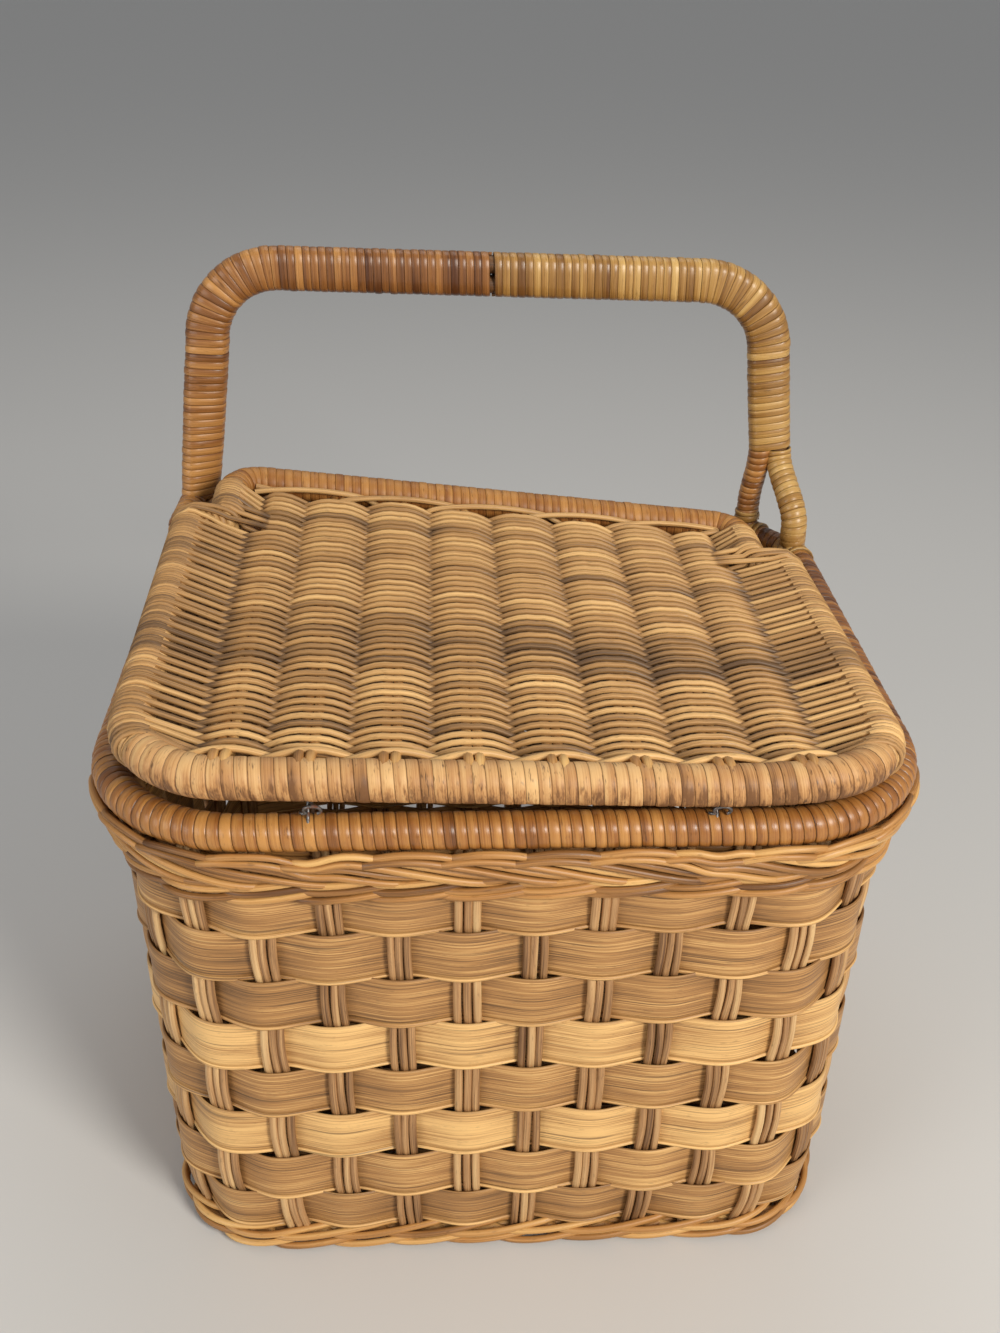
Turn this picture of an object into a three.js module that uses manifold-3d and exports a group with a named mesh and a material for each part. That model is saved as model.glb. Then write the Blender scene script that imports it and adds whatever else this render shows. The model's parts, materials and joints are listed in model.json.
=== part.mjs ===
// Picnic basket of willow and rattan with a hinged woven lid and a fixed hoop handle.
// Millimetres, +Z up. The origin is the middle of the base's underside.
// +X is the basket's right, -Y its hinge side, +Y the side where the handle stands.
import * as THREE from 'three';
import { mergeVertices } from 'three/addons/utils/BufferGeometryUtils.js';
import Module from 'manifold-3d';

const wasm = await Module();
wasm.setup();

// Clearances
const SEAT = 0.3;            // between two pieces that rest on each other
const RING_CLEAR = 0.8;      // between a ring of straight facets and the stakes inside it
const RUN_CLEAR = 0.4;       // round a wire that turns on a rod
const WIND_CLEAR = 0.5;      // under a cane wound round a bent rod
const MAT_CLEAR = 0.7;       // between the twisted lid's weave and its rails

// Woven body, measured on the middle surface of its wall at the base
const BODY_WIDTH = 259;
const BODY_DEPTH = 231;
const BODY_CORNER = 41;
const WALL_ANGLE = 2.12;     // degrees that the wall leans outwards
const FOOT_TUCK = 4;         // how far the wall draws in below its lowest row
const BASE_THICK = 5;
const BASE_RIBS = 9;
const BASE_RIB_PITCH = 26.2;
const BASE_RIB_WIDTH = 10;   // flat of the weave under a rib of the base
const BASE_DIP = 1.4;        // hollow of the weave between two ribs

// Stakes, each a flat group of canes, and the splint rows woven through them
const STAKE_COUNT = 40;
const STAKE_WIDTH = 9.3;
const STAKE_THICK = 3.2;
const STAKE_SHIFT = 8;       // first stake to the right of the front's middle
const STAKE_MARGIN = 0.6;    // flat of a splint beyond each edge of a stake
const ROW_COUNT = 8;
const ROW_PITCH = 22.3;
const ROW_GAP = 0.5;
const SPLINT_THICK = 1.2;

// Foot wale, rolled border and rim
const WALE_HEIGHT = 10;
const WALE_THICK = 6;
const WALE_ROUND = 1.8;
const BORDER_HEAD = 10.6;    // stake length above the top row, inside the border
const BORDER_SKIRT = 12;     // how far the border hangs over the top row
const BORDER_BULGE = 7;      // swell of the border beyond the top row
const BORDER_LIP = 4;        // thickness of the border's inner lip
const BORDER_ROOF = 2.9;
const RIM_RADIUS = 6.5;
const RIM_OUTSET = 3.7;      // rim centre line outside the wall's middle surface

// Lid frame, weave and ribs
const LID_GAP = 4.8;         // air between the rim and the middle of the lid's front rail
const RAIL_RADIUS = 7.2;     // wrapped front rail
const FRAME_RADIUS = 5.8;    // bare rod of the lid's frame
const SIDE_RADIUS = 8.3;     // side rail inside its wrapping canes
const BACK_RADIUS = 7;       // wrapped back rail
const LID_OVERLAP = 2;       // lid's side beyond the rim's inner edge
const LID_SHORT = 21.9;      // back rail short of the rim's rear, centre to centre
const LID_CORNER = 34;
const LID_STEP = 14;         // inward step of each side before the handle
const STEP_AHEAD = 50;       // start of the step ahead of the back rail
const STEP_LENGTH = 9;
const BACK_CORNER = 12;
const WRAP_REACH = 4;        // straight end of a wrap past its corner
const RIB_COUNT = 8;
const RIB_WIDTH = 8;
const RIB_THICK = 3.6;
const RIB_MARGIN = 6.2;      // between an outermost rib and the narrow side rail
const LID_ROLL = 3.8;        // rise of the front rail's left end and drop of its right end
const LID_TILT = 1.2;        // rise of the back rail, because the old lid doesn't shut fully
const MAT_DROP = 1.5;        // middle of the weave below the middle of the frame
const CANE = 2.4;            // weaving cane diameter
const HUMP_MARGIN = 1.5;     // weave beyond each side of a rib before it dips

// Hinge wires
const HINGE_SPACING = 134;
const WIRE_RADIUS = 0.55;
const LID_OPEN = 105;        // degrees from shut to fully open

// Handle: two bent rods, bound together over the top and apart at the feet
const HANDLE_AHEAD = 16;     // handle ahead of the rim's rear, centre to centre
const HANDLE_RISE = 117;     // middle of the bound grip above the rim's top
const HANDLE_INSET = 17.5;   // grip's leg under its bend inside the rim's side, centre to centre
const HANDLE_BEND = 32;
const HANDLE_LEAN = 3;       // rise of the left end, drop of the right end
const ROD_RADIUS = 4;
const GRIP_WRAP = 0.9;
const LEG_WRAP = 1.2;
const LEG_STRIP = 3.8;       // width of the flat cane wound round a leg
const LEG_PITCH = 5;
const FORK_RISE = 40;        // right fork above the rim's top
const LEFT_FORK_DROP = 15;   // left fork below the right one
const LEFT_TURN = 45;        // degrees that the bound rods turn round each other down the left leg
const FORK_SPREAD = 5;       // how far a leg leans out between its bend and its fork
const LEG_EASE = 0.4;        // straight run of a leg at each end, as a share of its height
const FRONT_FOOT_ANGLE = 17; // degrees round the rim's rear corner
const BACK_FOOT_ANGLE = 50;
const LEFT_FOOT_CLOSE = 6;   // left back foot nearer to the front one, in degrees
const LASH_LENGTH = 16;
const LASH_THICK = 1.6;
const LASH_COLLAR = 6;
const LASH_DEPTH = 4;        // lower edge of a lashing below the rim's middle

// Facets
const CORNER_STEPS = 9;
const ROD_SIDES = 8;
const RIM_SIDES = 10;
const BEND_STEPS = 7;
const BOUND_STEPS = 4;
const LEG_STEPS = 6;
const STEP_STEPS = 6;
const WIRE_SIDES = 6;
const WIRE_STEPS = 8;
const REACH_PAST = 20;       // spare length of a cutting solid

// Heights that follow from the sizes above
const ROWS_BOTTOM = WALE_HEIGHT + ROW_GAP;
const ROWS_TOP = ROWS_BOTTOM + ROW_COUNT * ROW_PITCH;
const FOOT_RISE = ROWS_BOTTOM + ROW_PITCH;
const STAKE_TOP = ROWS_TOP + BORDER_HEAD;
const ROOF_TOP = STAKE_TOP + SEAT + BORDER_ROOF;
const RIM_HEIGHT = ROOF_TOP + SEAT + RIM_RADIUS;
const RIM_TOP = RIM_HEIGHT + RIM_RADIUS;
const SPLINT_SWING = STAKE_THICK / 2 + SEAT + SPLINT_THICK / 2;
const SPLINT_REACH = SPLINT_SWING + SPLINT_THICK / 2;
const CORE_HALF_X = BODY_WIDTH / 2 - BODY_CORNER;
const CORE_HALF_Y = BODY_DEPTH / 2 - BODY_CORNER;

const degrees = (angle) => angle * Math.PI / 180;
const WALL_LEAN = Math.tan(degrees(WALL_ANGLE));
const UP = new THREE.Vector3(0, 0, 1);
const ALONG_X = new THREE.Vector3(1, 0, 0);
const ALONG_Y = new THREE.Vector3(0, 1, 0);

// Offset of the wall's middle surface from its outline at the base
function wallOffset(z) {
  const tuck = FOOT_TUCK * Math.max(0, 1 - z / FOOT_RISE);
  return WALL_LEAN * z - tuck;
}

const RIM_OFFSET = wallOffset(RIM_HEIGHT) + RIM_OUTSET;
const RIM_HALF_X = BODY_WIDTH / 2 + RIM_OFFSET;
const RIM_HALF_Y = BODY_DEPTH / 2 + RIM_OFFSET;
const HANDLE_Y = RIM_HALF_Y - HANDLE_AHEAD;
const HANDLE_TOP = RIM_TOP + HANDLE_RISE;
const HANDLE_HALF = RIM_HALF_X - HANDLE_INSET;
const FORK_HALF = HANDLE_HALF + FORK_SPREAD;
const forkHeight = (side) => RIM_TOP + FORK_RISE - (side < 0 ? LEFT_FORK_DROP : 0);

// Centres of the outline's corners, from front right round to front left
const CORNERS = [
  new THREE.Vector2(CORE_HALF_X, -CORE_HALF_Y),
  new THREE.Vector2(CORE_HALF_X, CORE_HALF_Y),
  new THREE.Vector2(-CORE_HALF_X, CORE_HALF_Y),
  new THREE.Vector2(-CORE_HALF_X, -CORE_HALF_Y),
];

// Closed or open solid through rings of points that have the same count
function loft(rings, closed) {
  const count = rings[0].length;
  const index = [];
  const spans = closed ? rings.length : rings.length - 1;
  for (let i = 0; i < spans; i++) {
    const here = i * count;
    const next = ((i + 1) % rings.length) * count;
    for (let j = 0; j < count; j++) {
      const k = (j + 1) % count;
      index.push(here + j, next + j, next + k, here + j, next + k, here + k);
    }
  }
  if (!closed) {
    const last = (rings.length - 1) * count;
    for (let j = 1; j < count - 1; j++) {
      index.push(0, j, j + 1);
      index.push(last, last + j + 1, last + j);
    }
  }
  const geometry = new THREE.BufferGeometry();
  geometry.setFromPoints(rings.flat());
  geometry.setIndex(index);
  return faceOutward(geometry);
}

// Turns all faces round where the enclosed volume comes out negative
function faceOutward(geometry) {
  const points = geometry.getAttribute('position');
  const index = Array.from(geometry.getIndex().array);
  const [a, b, c] = [new THREE.Vector3(), new THREE.Vector3(), new THREE.Vector3()];
  let volume = 0;
  for (let i = 0; i < index.length; i += 3) {
    a.fromBufferAttribute(points, index[i]);
    b.fromBufferAttribute(points, index[i + 1]);
    c.fromBufferAttribute(points, index[i + 2]);
    volume += a.dot(b.cross(c));
  }
  if (volume < 0) {
    geometry.setIndex(index.reverse());
  }
  return geometry;
}

function solidOf(geometry) {
  const bare = geometry.clone();
  bare.deleteAttribute('normal');
  bare.deleteAttribute('uv');
  const merged = mergeVertices(bare);
  return new wasm.Manifold(new wasm.Mesh({
    numProp: 3,
    vertProperties: new Float32Array(merged.getAttribute('position').array),
    triVerts: new Uint32Array(merged.getIndex().array),
  }));
}

function geometryOf(solid) {
  const mesh = solid.getMesh();
  const geometry = new THREE.BufferGeometry();
  geometry.setAttribute('position', new THREE.BufferAttribute(mesh.vertProperties, 3));
  geometry.setIndex(Array.from(mesh.triVerts));
  return geometry;
}

// Points of a round section, the first one on the second axis
function roundSection(radius, sides) {
  const points = [];
  for (let i = 0; i < sides; i++) {
    const angle = 2 * Math.PI * i / sides;
    points.push(new THREE.Vector2(radius * Math.sin(angle), radius * Math.cos(angle)));
  }
  return points;
}

// Two directions square to a tangent, the second one leaning towards "up"
function crossAxes(tangent, up) {
  const side = tangent.clone().cross(up).normalize();
  return { side, rise: side.clone().cross(tangent) };
}

// Section swept along a path of points. The section's second axis leans towards "up",
// and "turns" holds the section's turn in degrees at each point.
function sweep(path, section, up, { closed = false, from = 0, to = path.length - 1, turns } = {}) {
  const middle = new THREE.Vector2();
  const rings = [];
  for (let i = from; i <= to; i++) {
    const before = closed ? path[(i + path.length - 1) % path.length] : path[Math.max(i - 1, 0)];
    const after = closed ? path[(i + 1) % path.length] : path[Math.min(i + 1, path.length - 1)];
    const arriving = path[i].clone().sub(before).normalize();
    const leaving = after.clone().sub(path[i]).normalize();
    const tangent = arriving.add(leaving).normalize();
    const { side, rise } = crossAxes(tangent, up);
    const turned = section.map((point) => point.clone().rotateAround(middle, degrees(turns?.[i] ?? 0)));
    rings.push(turned.map((point) => path[i].clone()
      .addScaledVector(side, point.x)
      .addScaledVector(rise, point.y)));
  }
  return loft(rings, closed);
}

// Stations round the outline: a corner's centre and the direction outwards
function outlineStations() {
  const stations = [];
  CORNERS.forEach((centre, k) => {
    for (let i = 0; i <= CORNER_STEPS; i++) {
      const angle = degrees(90 * (k - 1) + 90 * i / CORNER_STEPS);
      stations.push({ centre, out: new THREE.Vector2(Math.cos(angle), Math.sin(angle)) });
    }
  });
  return stations;
}

function outlinePoint(station, offset, z) {
  const flat = station.centre.clone().addScaledVector(station.out, BODY_CORNER + offset);
  return new THREE.Vector3(flat.x, flat.y, z);
}

// Ring round the body through section points given as offset from the wall and height
function bodyRing(section) {
  return loft(outlineStations().map((station) => section.map(
    ([offset, z]) => outlinePoint(station, wallOffset(z) + offset, z),
  )), true);
}

// Place on the outline at a share of its length, counted from the front's middle towards +X
function outlinePlace(share, offset) {
  const radius = BODY_CORNER + offset;
  const sides = [2 * CORE_HALF_X, 2 * CORE_HALF_Y, 2 * CORE_HALF_X, 2 * CORE_HALF_Y];
  const arc = radius * Math.PI / 2;
  const perimeter = sides.reduce((sum, side) => sum + side, 0) + 4 * arc;
  let travel = (share * perimeter + CORE_HALF_X) % perimeter;
  let k = 0;
  while (travel > sides[k] + arc) {
    travel -= sides[k] + arc;
    k += 1;
  }
  const turn = Math.max(0, travel - sides[k]) / radius;
  const heading = degrees(90 * k) + turn;
  const along = new THREE.Vector2(Math.cos(heading), Math.sin(heading));
  const out = new THREE.Vector2(along.y, -along.x);
  const straight = Math.min(travel, sides[k]) - sides[k];
  const centre = CORNERS[k].clone();
  const place = centre.addScaledVector(along, turn > 0 ? 0 : straight).addScaledVector(out, radius);
  return { place, along, out };
}

const OUTLINE_LENGTH = 4 * (CORE_HALF_X + CORE_HALF_Y) + 2 * Math.PI * BODY_CORNER;
const STAKE_PHASE = STAKE_SHIFT / OUTLINE_LENGTH;

// Point beside a stake: distance along the wall, offset from the wall and height
function stakePoint(stake, along, offset, z) {
  const frame = outlinePlace(STAKE_PHASE + stake / STAKE_COUNT, wallOffset(z));
  const flat = frame.place.addScaledVector(frame.along, along).addScaledVector(frame.out, offset);
  return new THREE.Vector3(flat.x, flat.y, z);
}

function stakeSolid(stake) {
  const half = STAKE_WIDTH / 2;
  const deep = STAKE_THICK / 2;
  const heights = [BASE_THICK / 2, FOOT_RISE, STAKE_TOP];
  return loft(heights.map((z) => [
    stakePoint(stake, -half, -deep, z),
    stakePoint(stake, half, -deep, z),
    stakePoint(stake, half, deep, z),
    stakePoint(stake, -half, deep, z),
  ]), false);
}

// Hollow of the base's underside between one rib and the next
function baseHollow(gap) {
  const middle = (gap - BASE_RIBS / 2) * BASE_RIB_PITCH;
  const wide = (BASE_RIB_PITCH - BASE_RIB_WIDTH) / 2;
  const profile = new THREE.Shape([
    new THREE.Vector2(-wide, 0),
    new THREE.Vector2(-wide, -BASE_DIP),
    new THREE.Vector2(wide, -BASE_DIP),
    new THREE.Vector2(wide, 0),
    new THREE.Vector2(wide / 2, BASE_DIP),
    new THREE.Vector2(-wide / 2, BASE_DIP),
  ]);
  const length = BODY_DEPTH + REACH_PAST;
  const hollow = new THREE.ExtrudeGeometry(profile, { depth: length, bevelEnabled: false });
  hollow.rotateX(Math.PI / 2);
  hollow.translate(middle, length / 2, 0);
  return solidOf(hollow);
}

// Woven base with the stakes that turn up from its edge
function baseWithStakes() {
  const edge = STAKE_THICK / 2;
  const rings = [0, BASE_THICK].map((z) => outlineStations().map(
    (station) => outlinePoint(station, wallOffset(z) + edge, z),
  ));
  let solid = solidOf(loft(rings, false));
  for (let gap = 1; gap < BASE_RIBS; gap++) {
    solid = solid.subtract(baseHollow(gap));
  }
  for (let stake = 0; stake < STAKE_COUNT; stake++) {
    solid = solid.add(solidOf(stakeSolid(stake)));
  }
  return geometryOf(solid);
}

// One splint ring, counted from the top, passing before and behind the stakes by turns
function splintRow(row) {
  const top = ROWS_TOP - (row - 1) * ROW_PITCH - ROW_GAP / 2;
  const bottom = top - ROW_PITCH + ROW_GAP;
  const half = STAKE_WIDTH / 2 + STAKE_MARGIN;
  const rings = [];
  for (let stake = 0; stake < STAKE_COUNT; stake++) {
    const before = (stake + row) % 2 === 0 ? -1 : 1;
    const inner = before * SPLINT_SWING - SPLINT_THICK / 2;
    const outer = before * SPLINT_SWING + SPLINT_THICK / 2;
    for (const along of [-half, half]) {
      rings.push([
        stakePoint(stake, along, inner, bottom),
        stakePoint(stake, along, outer, bottom),
        stakePoint(stake, along, outer, top),
        stakePoint(stake, along, inner, top),
      ]);
    }
  }
  return loft(rings, true);
}

function footWale() {
  const inner = STAKE_THICK / 2 + RING_CLEAR;
  const outer = inner + WALE_THICK;
  return bodyRing([
    [inner, 0],
    [outer - WALE_ROUND, 0],
    [outer, WALE_ROUND],
    [outer, WALE_HEIGHT - WALE_ROUND],
    [outer - WALE_ROUND, WALE_HEIGHT],
    [inner, WALE_HEIGHT],
  ]);
}

// Rolled border: a cap over the stakes' heads, with a swollen skirt outside and a lip inside
function border() {
  const slot = STAKE_THICK / 2 + RING_CLEAR;
  const row = SPLINT_REACH + RING_CLEAR;
  const swell = row + BORDER_BULGE;
  const skirt = ROWS_TOP - BORDER_SKIRT;
  const roof = STAKE_TOP + SEAT;
  const aboveRow = ROWS_TOP + SEAT;
  const middle = (skirt + ROOF_TOP) / 2;
  const quarter = (ROOF_TOP - skirt) / 4;
  let solid = solidOf(bodyRing([
    [row, skirt],
    [row + BORDER_BULGE / 2, skirt],
    [swell, middle - quarter],
    [swell, middle + quarter],
    [row + BORDER_BULGE / 2, ROOF_TOP],
    [-slot - BORDER_LIP / 2, ROOF_TOP],
    [-slot - BORDER_LIP, roof],
    [-slot - BORDER_LIP / 2, aboveRow],
    [-slot, aboveRow],
    [-slot, roof],
    [slot, roof],
    [slot, aboveRow],
    [row, aboveRow],
  ]));
  for (const side of [-1, 1]) {
    solid = solid
      .subtract(wireRoom(side, RIM_RADIUS, -RIM_HALF_Y, RIM_HEIGHT))
      .subtract(swingRoom(side));
  }
  return geometryOf(solid);
}

// Room that a hinge wire needs round a rod, and its slot's width
const WIRE_SLOT = 2 * (WIRE_RADIUS + RUN_CLEAR);
const wireReach = (rodRadius) => rodRadius + 2 * RUN_CLEAR + 2 * WIRE_RADIUS;

// Disc of room round a rod for the hinge wire that goes round it
function wireRoom(side, rodRadius, y, z) {
  const reach = wireReach(rodRadius);
  const room = new THREE.CylinderGeometry(reach, reach, WIRE_SLOT, 2 * RIM_SIDES);
  room.rotateZ(Math.PI / 2);
  room.translate(side * HINGE_SPACING / 2, y, z);
  return solidOf(room);
}

// Room under the rim for the wire's front stretch when the lid is fully open
function swingRoom(side) {
  const reach = wireReach(RAIL_RADIUS);
  const room = new THREE.BoxGeometry(WIRE_SLOT, reach, REACH_PAST);
  room.translate(0, -reach / 2, REACH_PAST / 2);
  room.rotateX(degrees(LID_OPEN));
  room.translate(side * HINGE_SPACING / 2, -RIM_HALF_Y, RIM_HEIGHT);
  return solidOf(room);
}

function rimSolid(radius) {
  const path = outlineStations().map((station) => outlinePoint(station, RIM_OFFSET, RIM_HEIGHT));
  return sweep(path, roundSection(radius, RIM_SIDES), UP, { closed: true });
}

// Handle paths run from the left foot over the top to the right foot
function leaned(point) {
  const share = (point.z - RIM_TOP) / (HANDLE_TOP - RIM_TOP);
  point.z -= HANDLE_LEAN * share * point.x / HANDLE_HALF;
  return point;
}

function mirrored(points) {
  return points.map((point) => new THREE.Vector3(-point.x, point.y, point.z)).reverse();
}

// Point of the bound leg, drawn on the right, at a share of the way from the bend to the fork
const boundTurn = (side, share) => (side < 0 ? LEFT_TURN * share : 0);

function boundPoint(offset, side, share) {
  const turn = degrees(boundTurn(side, share));
  return new THREE.Vector3(
    THREE.MathUtils.lerp(HANDLE_HALF, FORK_HALF, share) + offset * Math.cos(turn),
    HANDLE_Y - offset * Math.sin(turn),
    THREE.MathUtils.lerp(HANDLE_TOP - HANDLE_BEND, forkHeight(side), share),
  );
}

// One side's half of the bound part, drawn on the right: the bend and the leg down to the fork
function bendPoints(offset, side) {
  const points = [];
  for (let i = 0; i <= BEND_STEPS; i++) {
    const angle = degrees(90 - 90 * i / BEND_STEPS);
    points.push(new THREE.Vector3(
      HANDLE_HALF - HANDLE_BEND + (HANDLE_BEND + offset) * Math.cos(angle),
      HANDLE_Y,
      HANDLE_TOP - HANDLE_BEND + (HANDLE_BEND + offset) * Math.sin(angle),
    ));
  }
  for (let i = 1; i <= BOUND_STEPS; i++) {
    points.push(boundPoint(offset, side, i / BOUND_STEPS));
  }
  return points;
}

function footAngle(which, side) {
  if (which === 'front') {
    return FRONT_FOOT_ANGLE;
  }
  return BACK_FOOT_ANGLE - (side < 0 ? LEFT_FOOT_CLOSE : 0);
}

function footPlace(angle) {
  const corner = CORNERS[1];
  const reach = BODY_CORNER + RIM_OFFSET;
  return new THREE.Vector3(
    corner.x + reach * Math.cos(degrees(angle)),
    corner.y + reach * Math.sin(degrees(angle)),
    RIM_TOP + SEAT,
  );
}

function legPoints(offset, which, side) {
  const fork = boundPoint(offset, side, 1);
  const foot = footPlace(footAngle(which, side));
  const ankle = foot.clone().addScaledVector(UP, LASH_COLLAR + LEG_WRAP);
  const ease = LEG_EASE * (fork.z - ankle.z);
  const curve = new THREE.CubicBezierCurve3(
    fork,
    fork.clone().addScaledVector(UP, -ease),
    ankle.clone().addScaledVector(UP, ease),
    ankle,
  );
  return [...curve.getPoints(LEG_STEPS).slice(1), foot];
}

function rodPath(offset, which) {
  const half = (side) => [...bendPoints(offset, side), ...legPoints(offset, which, side)];
  return [...mirrored(half(-1)), ...half(1)].map(leaned);
}

const ROD_OFFSET = ROD_RADIUS + SEAT / 2;
const ROD_PATHS = {
  front: rodPath(ROD_OFFSET, 'front'),
  back: rodPath(-ROD_OFFSET, 'back'),
};

// The rods' facets turn with the pair, which runs turned from the left foot up to the fork
const ROD_TURNS = ROD_PATHS.front.map((point, i) => {
  const share = 1 - (i - LEG_STEPS - 1) / BOUND_STEPS;
  return -boundTurn(-1, THREE.MathUtils.clamp(share, 0, 1));
});

function handleRod(which, radius = ROD_RADIUS) {
  return sweep(ROD_PATHS[which], roundSection(radius, ROD_SIDES), ALONG_Y, { turns: ROD_TURNS });
}

// Flat-sided oval round both rods, long across the grip
function gripSection(radius) {
  const points = [];
  const half = ROD_SIDES / 2;
  for (let i = 0; i <= half; i++) {
    const angle = Math.PI * i / half;
    points.push(new THREE.Vector2(ROD_OFFSET + radius * Math.sin(angle), radius * Math.cos(angle)));
  }
  return [...points, ...points.map((point) => point.clone().negate())];
}

// Cane wound round both rods, from the fork on one side to the middle of the grip
function gripWrap(side) {
  const half = bendPoints(0, side);
  const middle = new THREE.Vector3(side * SEAT, HANDLE_Y, HANDLE_TOP);
  const path = (side > 0 ? [middle, ...half] : [...mirrored(half), middle]).map(leaned);
  const turns = path.map((point, i) => -boundTurn(side, Math.max(0, 1 - i / BOUND_STEPS)));
  const cutTurns = [turns[0], ...turns, turns.at(-1)];
  const inner = ROD_RADIUS + SEAT;
  const cutPath = [path[0].clone(), ...path, path.at(-1).clone()];
  const past = (end, next) => end.clone().sub(next).normalize().multiplyScalar(REACH_PAST);
  cutPath[0].add(past(path[0], path[1]));
  cutPath[cutPath.length - 1].add(past(path.at(-1), path.at(-2)));
  const outside = sweep(path, gripSection(inner + GRIP_WRAP), ALONG_Y, { turns });
  const room = sweep(cutPath, gripSection(inner), ALONG_Y, { turns: cutTurns });
  return geometryOf(solidOf(outside).subtract(solidOf(room)));
}

// Point beside a curve: distance along it, angle round it and distance from it
function woundPoint(curve, distance, angle, radius) {
  const share = distance / curve.getLength();
  const { side, rise } = crossAxes(curve.getTangentAt(share), ALONG_Y);
  return curve.getPointAt(share)
    .addScaledVector(side, radius * Math.sin(angle))
    .addScaledVector(rise, radius * Math.cos(angle));
}

// Flat cane wound round one leg, from below the fork down to the lashing at its foot
function legWrap(which, side) {
  const path = side > 0 ? ROD_PATHS[which] : [...ROD_PATHS[which]].reverse();
  const leg = new THREE.CatmullRomCurve3(path.slice(-LEG_STEPS, -1));
  const length = leg.getLength();
  const turns = Math.floor((length - LEG_STRIP) / LEG_PITCH);
  const start = (length - turns * LEG_PITCH) / 2;
  const inner = ROD_RADIUS + WIND_CLEAR;
  const outer = inner + LEG_WRAP;
  const rings = [];
  for (let i = 0; i <= turns * ROD_SIDES; i++) {
    const turn = i / ROD_SIDES;
    const angle = 2 * Math.PI * turn;
    const upper = start + turn * LEG_PITCH - LEG_STRIP / 2;
    const lower = upper + LEG_STRIP;
    rings.push([
      woundPoint(leg, upper, angle, inner),
      woundPoint(leg, upper, angle, outer),
      woundPoint(leg, lower, angle, outer),
      woundPoint(leg, lower, angle, inner),
    ]);
  }
  console.log(`Least gap in the ${which} leg's winding: ${windingGap(rings).toFixed(2)} mm`);
  return loft(rings, false);
}

// Least distance between one turn's lower corners and the next turn's upper corners
function windingGap(rings) {
  let least = Infinity;
  for (let i = 0; i + ROD_SIDES < rings.length; i++) {
    const [nearLow, farLow] = [rings[i][3], rings[i][2]];
    const [nearHigh, farHigh] = [rings[i + ROD_SIDES][0], rings[i + ROD_SIDES][1]];
    least = Math.min(least, nearLow.distanceTo(nearHigh), farLow.distanceTo(farHigh));
  }
  return least;
}

// Lashing that holds a foot down on the rim: a saddle over the rim and a collar round the rod
function footLashing(which, side) {
  const angle = footAngle(which, side);
  const foot = footPlace(angle);
  const outside = RIM_RADIUS + SEAT + LASH_THICK;
  const low = RIM_HEIGHT - LASH_DEPTH;
  const high = RIM_TOP + LASH_COLLAR;
  const block = new THREE.BoxGeometry(2 * outside + REACH_PAST, LASH_LENGTH, high - low);
  block.rotateZ(degrees(angle));
  block.translate(foot.x, foot.y, (low + high) / 2);
  const collarRadius = ROD_RADIUS + SEAT + LASH_THICK;
  const collar = new THREE.CylinderGeometry(collarRadius, collarRadius, high - RIM_HEIGHT, RIM_SIDES);
  collar.rotateX(Math.PI / 2);
  collar.translate(foot.x, foot.y, (high + RIM_HEIGHT) / 2);
  for (const geometry of [block, collar]) {
    if (side < 0) {
      geometry.rotateZ(Math.PI).scale(1, -1, 1);
      geometry.setIndex(Array.from(geometry.getIndex().array).reverse());
    }
  }
  return geometryOf(solidOf(rimSolid(outside))
    .intersect(solidOf(block))
    .add(solidOf(collar))
    .subtract(solidOf(rimSolid(RIM_RADIUS + SEAT)))
    .subtract(solidOf(handleRod(which, ROD_RADIUS + SEAT))));
}

// Lid, drawn flat round the middle of its frame and then twisted as the old lid is
const LID_HEIGHT = RIM_TOP + LID_GAP + RAIL_RADIUS;
const LID_FRONT = -RIM_HALF_Y;
const LID_BACK = RIM_HALF_Y - LID_SHORT;
const LID_DEPTH = LID_BACK - LID_FRONT;
const STEP_START = LID_DEPTH - STEP_AHEAD;
const LID_SIDE = RIM_HALF_X - RIM_RADIUS + LID_OVERLAP - SIDE_RADIUS;
const LID_NARROW = LID_SIDE - LID_STEP;
const LID_RISE = LID_HEIGHT - RIM_HEIGHT;

// The outermost ribs fit between the narrow side rails
const RIB_PITCH = (2 * (LID_NARROW - SIDE_RADIUS - RIB_MARGIN) - RIB_WIDTH) / (RIB_COUNT - 1);

// The tilted lid's right shoulder rests on the rim, and its left one stands as much too high
const SHOULDER_REACH = SIDE_RADIUS + RIM_RADIUS + SEAT;
const SHOULDER_APART = RIM_HALF_X - LID_SIDE;
const SHOULDER_RISE = Math.sqrt(Math.max(SHOULDER_REACH ** 2 - SHOULDER_APART ** 2, 0));
const SHOULDER_SHARE = STEP_START / LID_DEPTH;
const SHOULDER_DROP = LID_RISE - SHOULDER_RISE - LID_ROLL * (1 - SHOULDER_SHARE);
const LID_TWIST = LID_TILT + SHOULDER_DROP / SHOULDER_SHARE;

const frontLift = (x) => -LID_ROLL * x / LID_SIDE;
const backLift = (x) => LID_TILT - LID_TWIST * x / LID_SIDE;

function twisted(geometry) {
  const points = geometry.getAttribute('position');
  for (let i = 0; i < points.count; i++) {
    const share = (points.getY(i) - LID_FRONT) / LID_DEPTH;
    const x = points.getX(i);
    const lift = THREE.MathUtils.lerp(frontLift(x), backLift(x), share);
    points.setZ(i, points.getZ(i) + lift);
  }
  return geometry;
}

function arcPoints(centreX, centreY, radius, startAngle) {
  const points = [];
  for (let i = 0; i <= BEND_STEPS; i++) {
    const angle = degrees(startAngle + 90 * i / BEND_STEPS);
    points.push(new THREE.Vector3(
      centreX + radius * Math.cos(angle),
      centreY + radius * Math.sin(angle),
      0,
    ));
  }
  return points;
}

// Frame path in three stretches: front with its corners, right side, back with its corners
const SIDE_START = LID_FRONT + LID_CORNER + WRAP_REACH;
const SIDE_END = LID_BACK - BACK_CORNER - WRAP_REACH;

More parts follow.
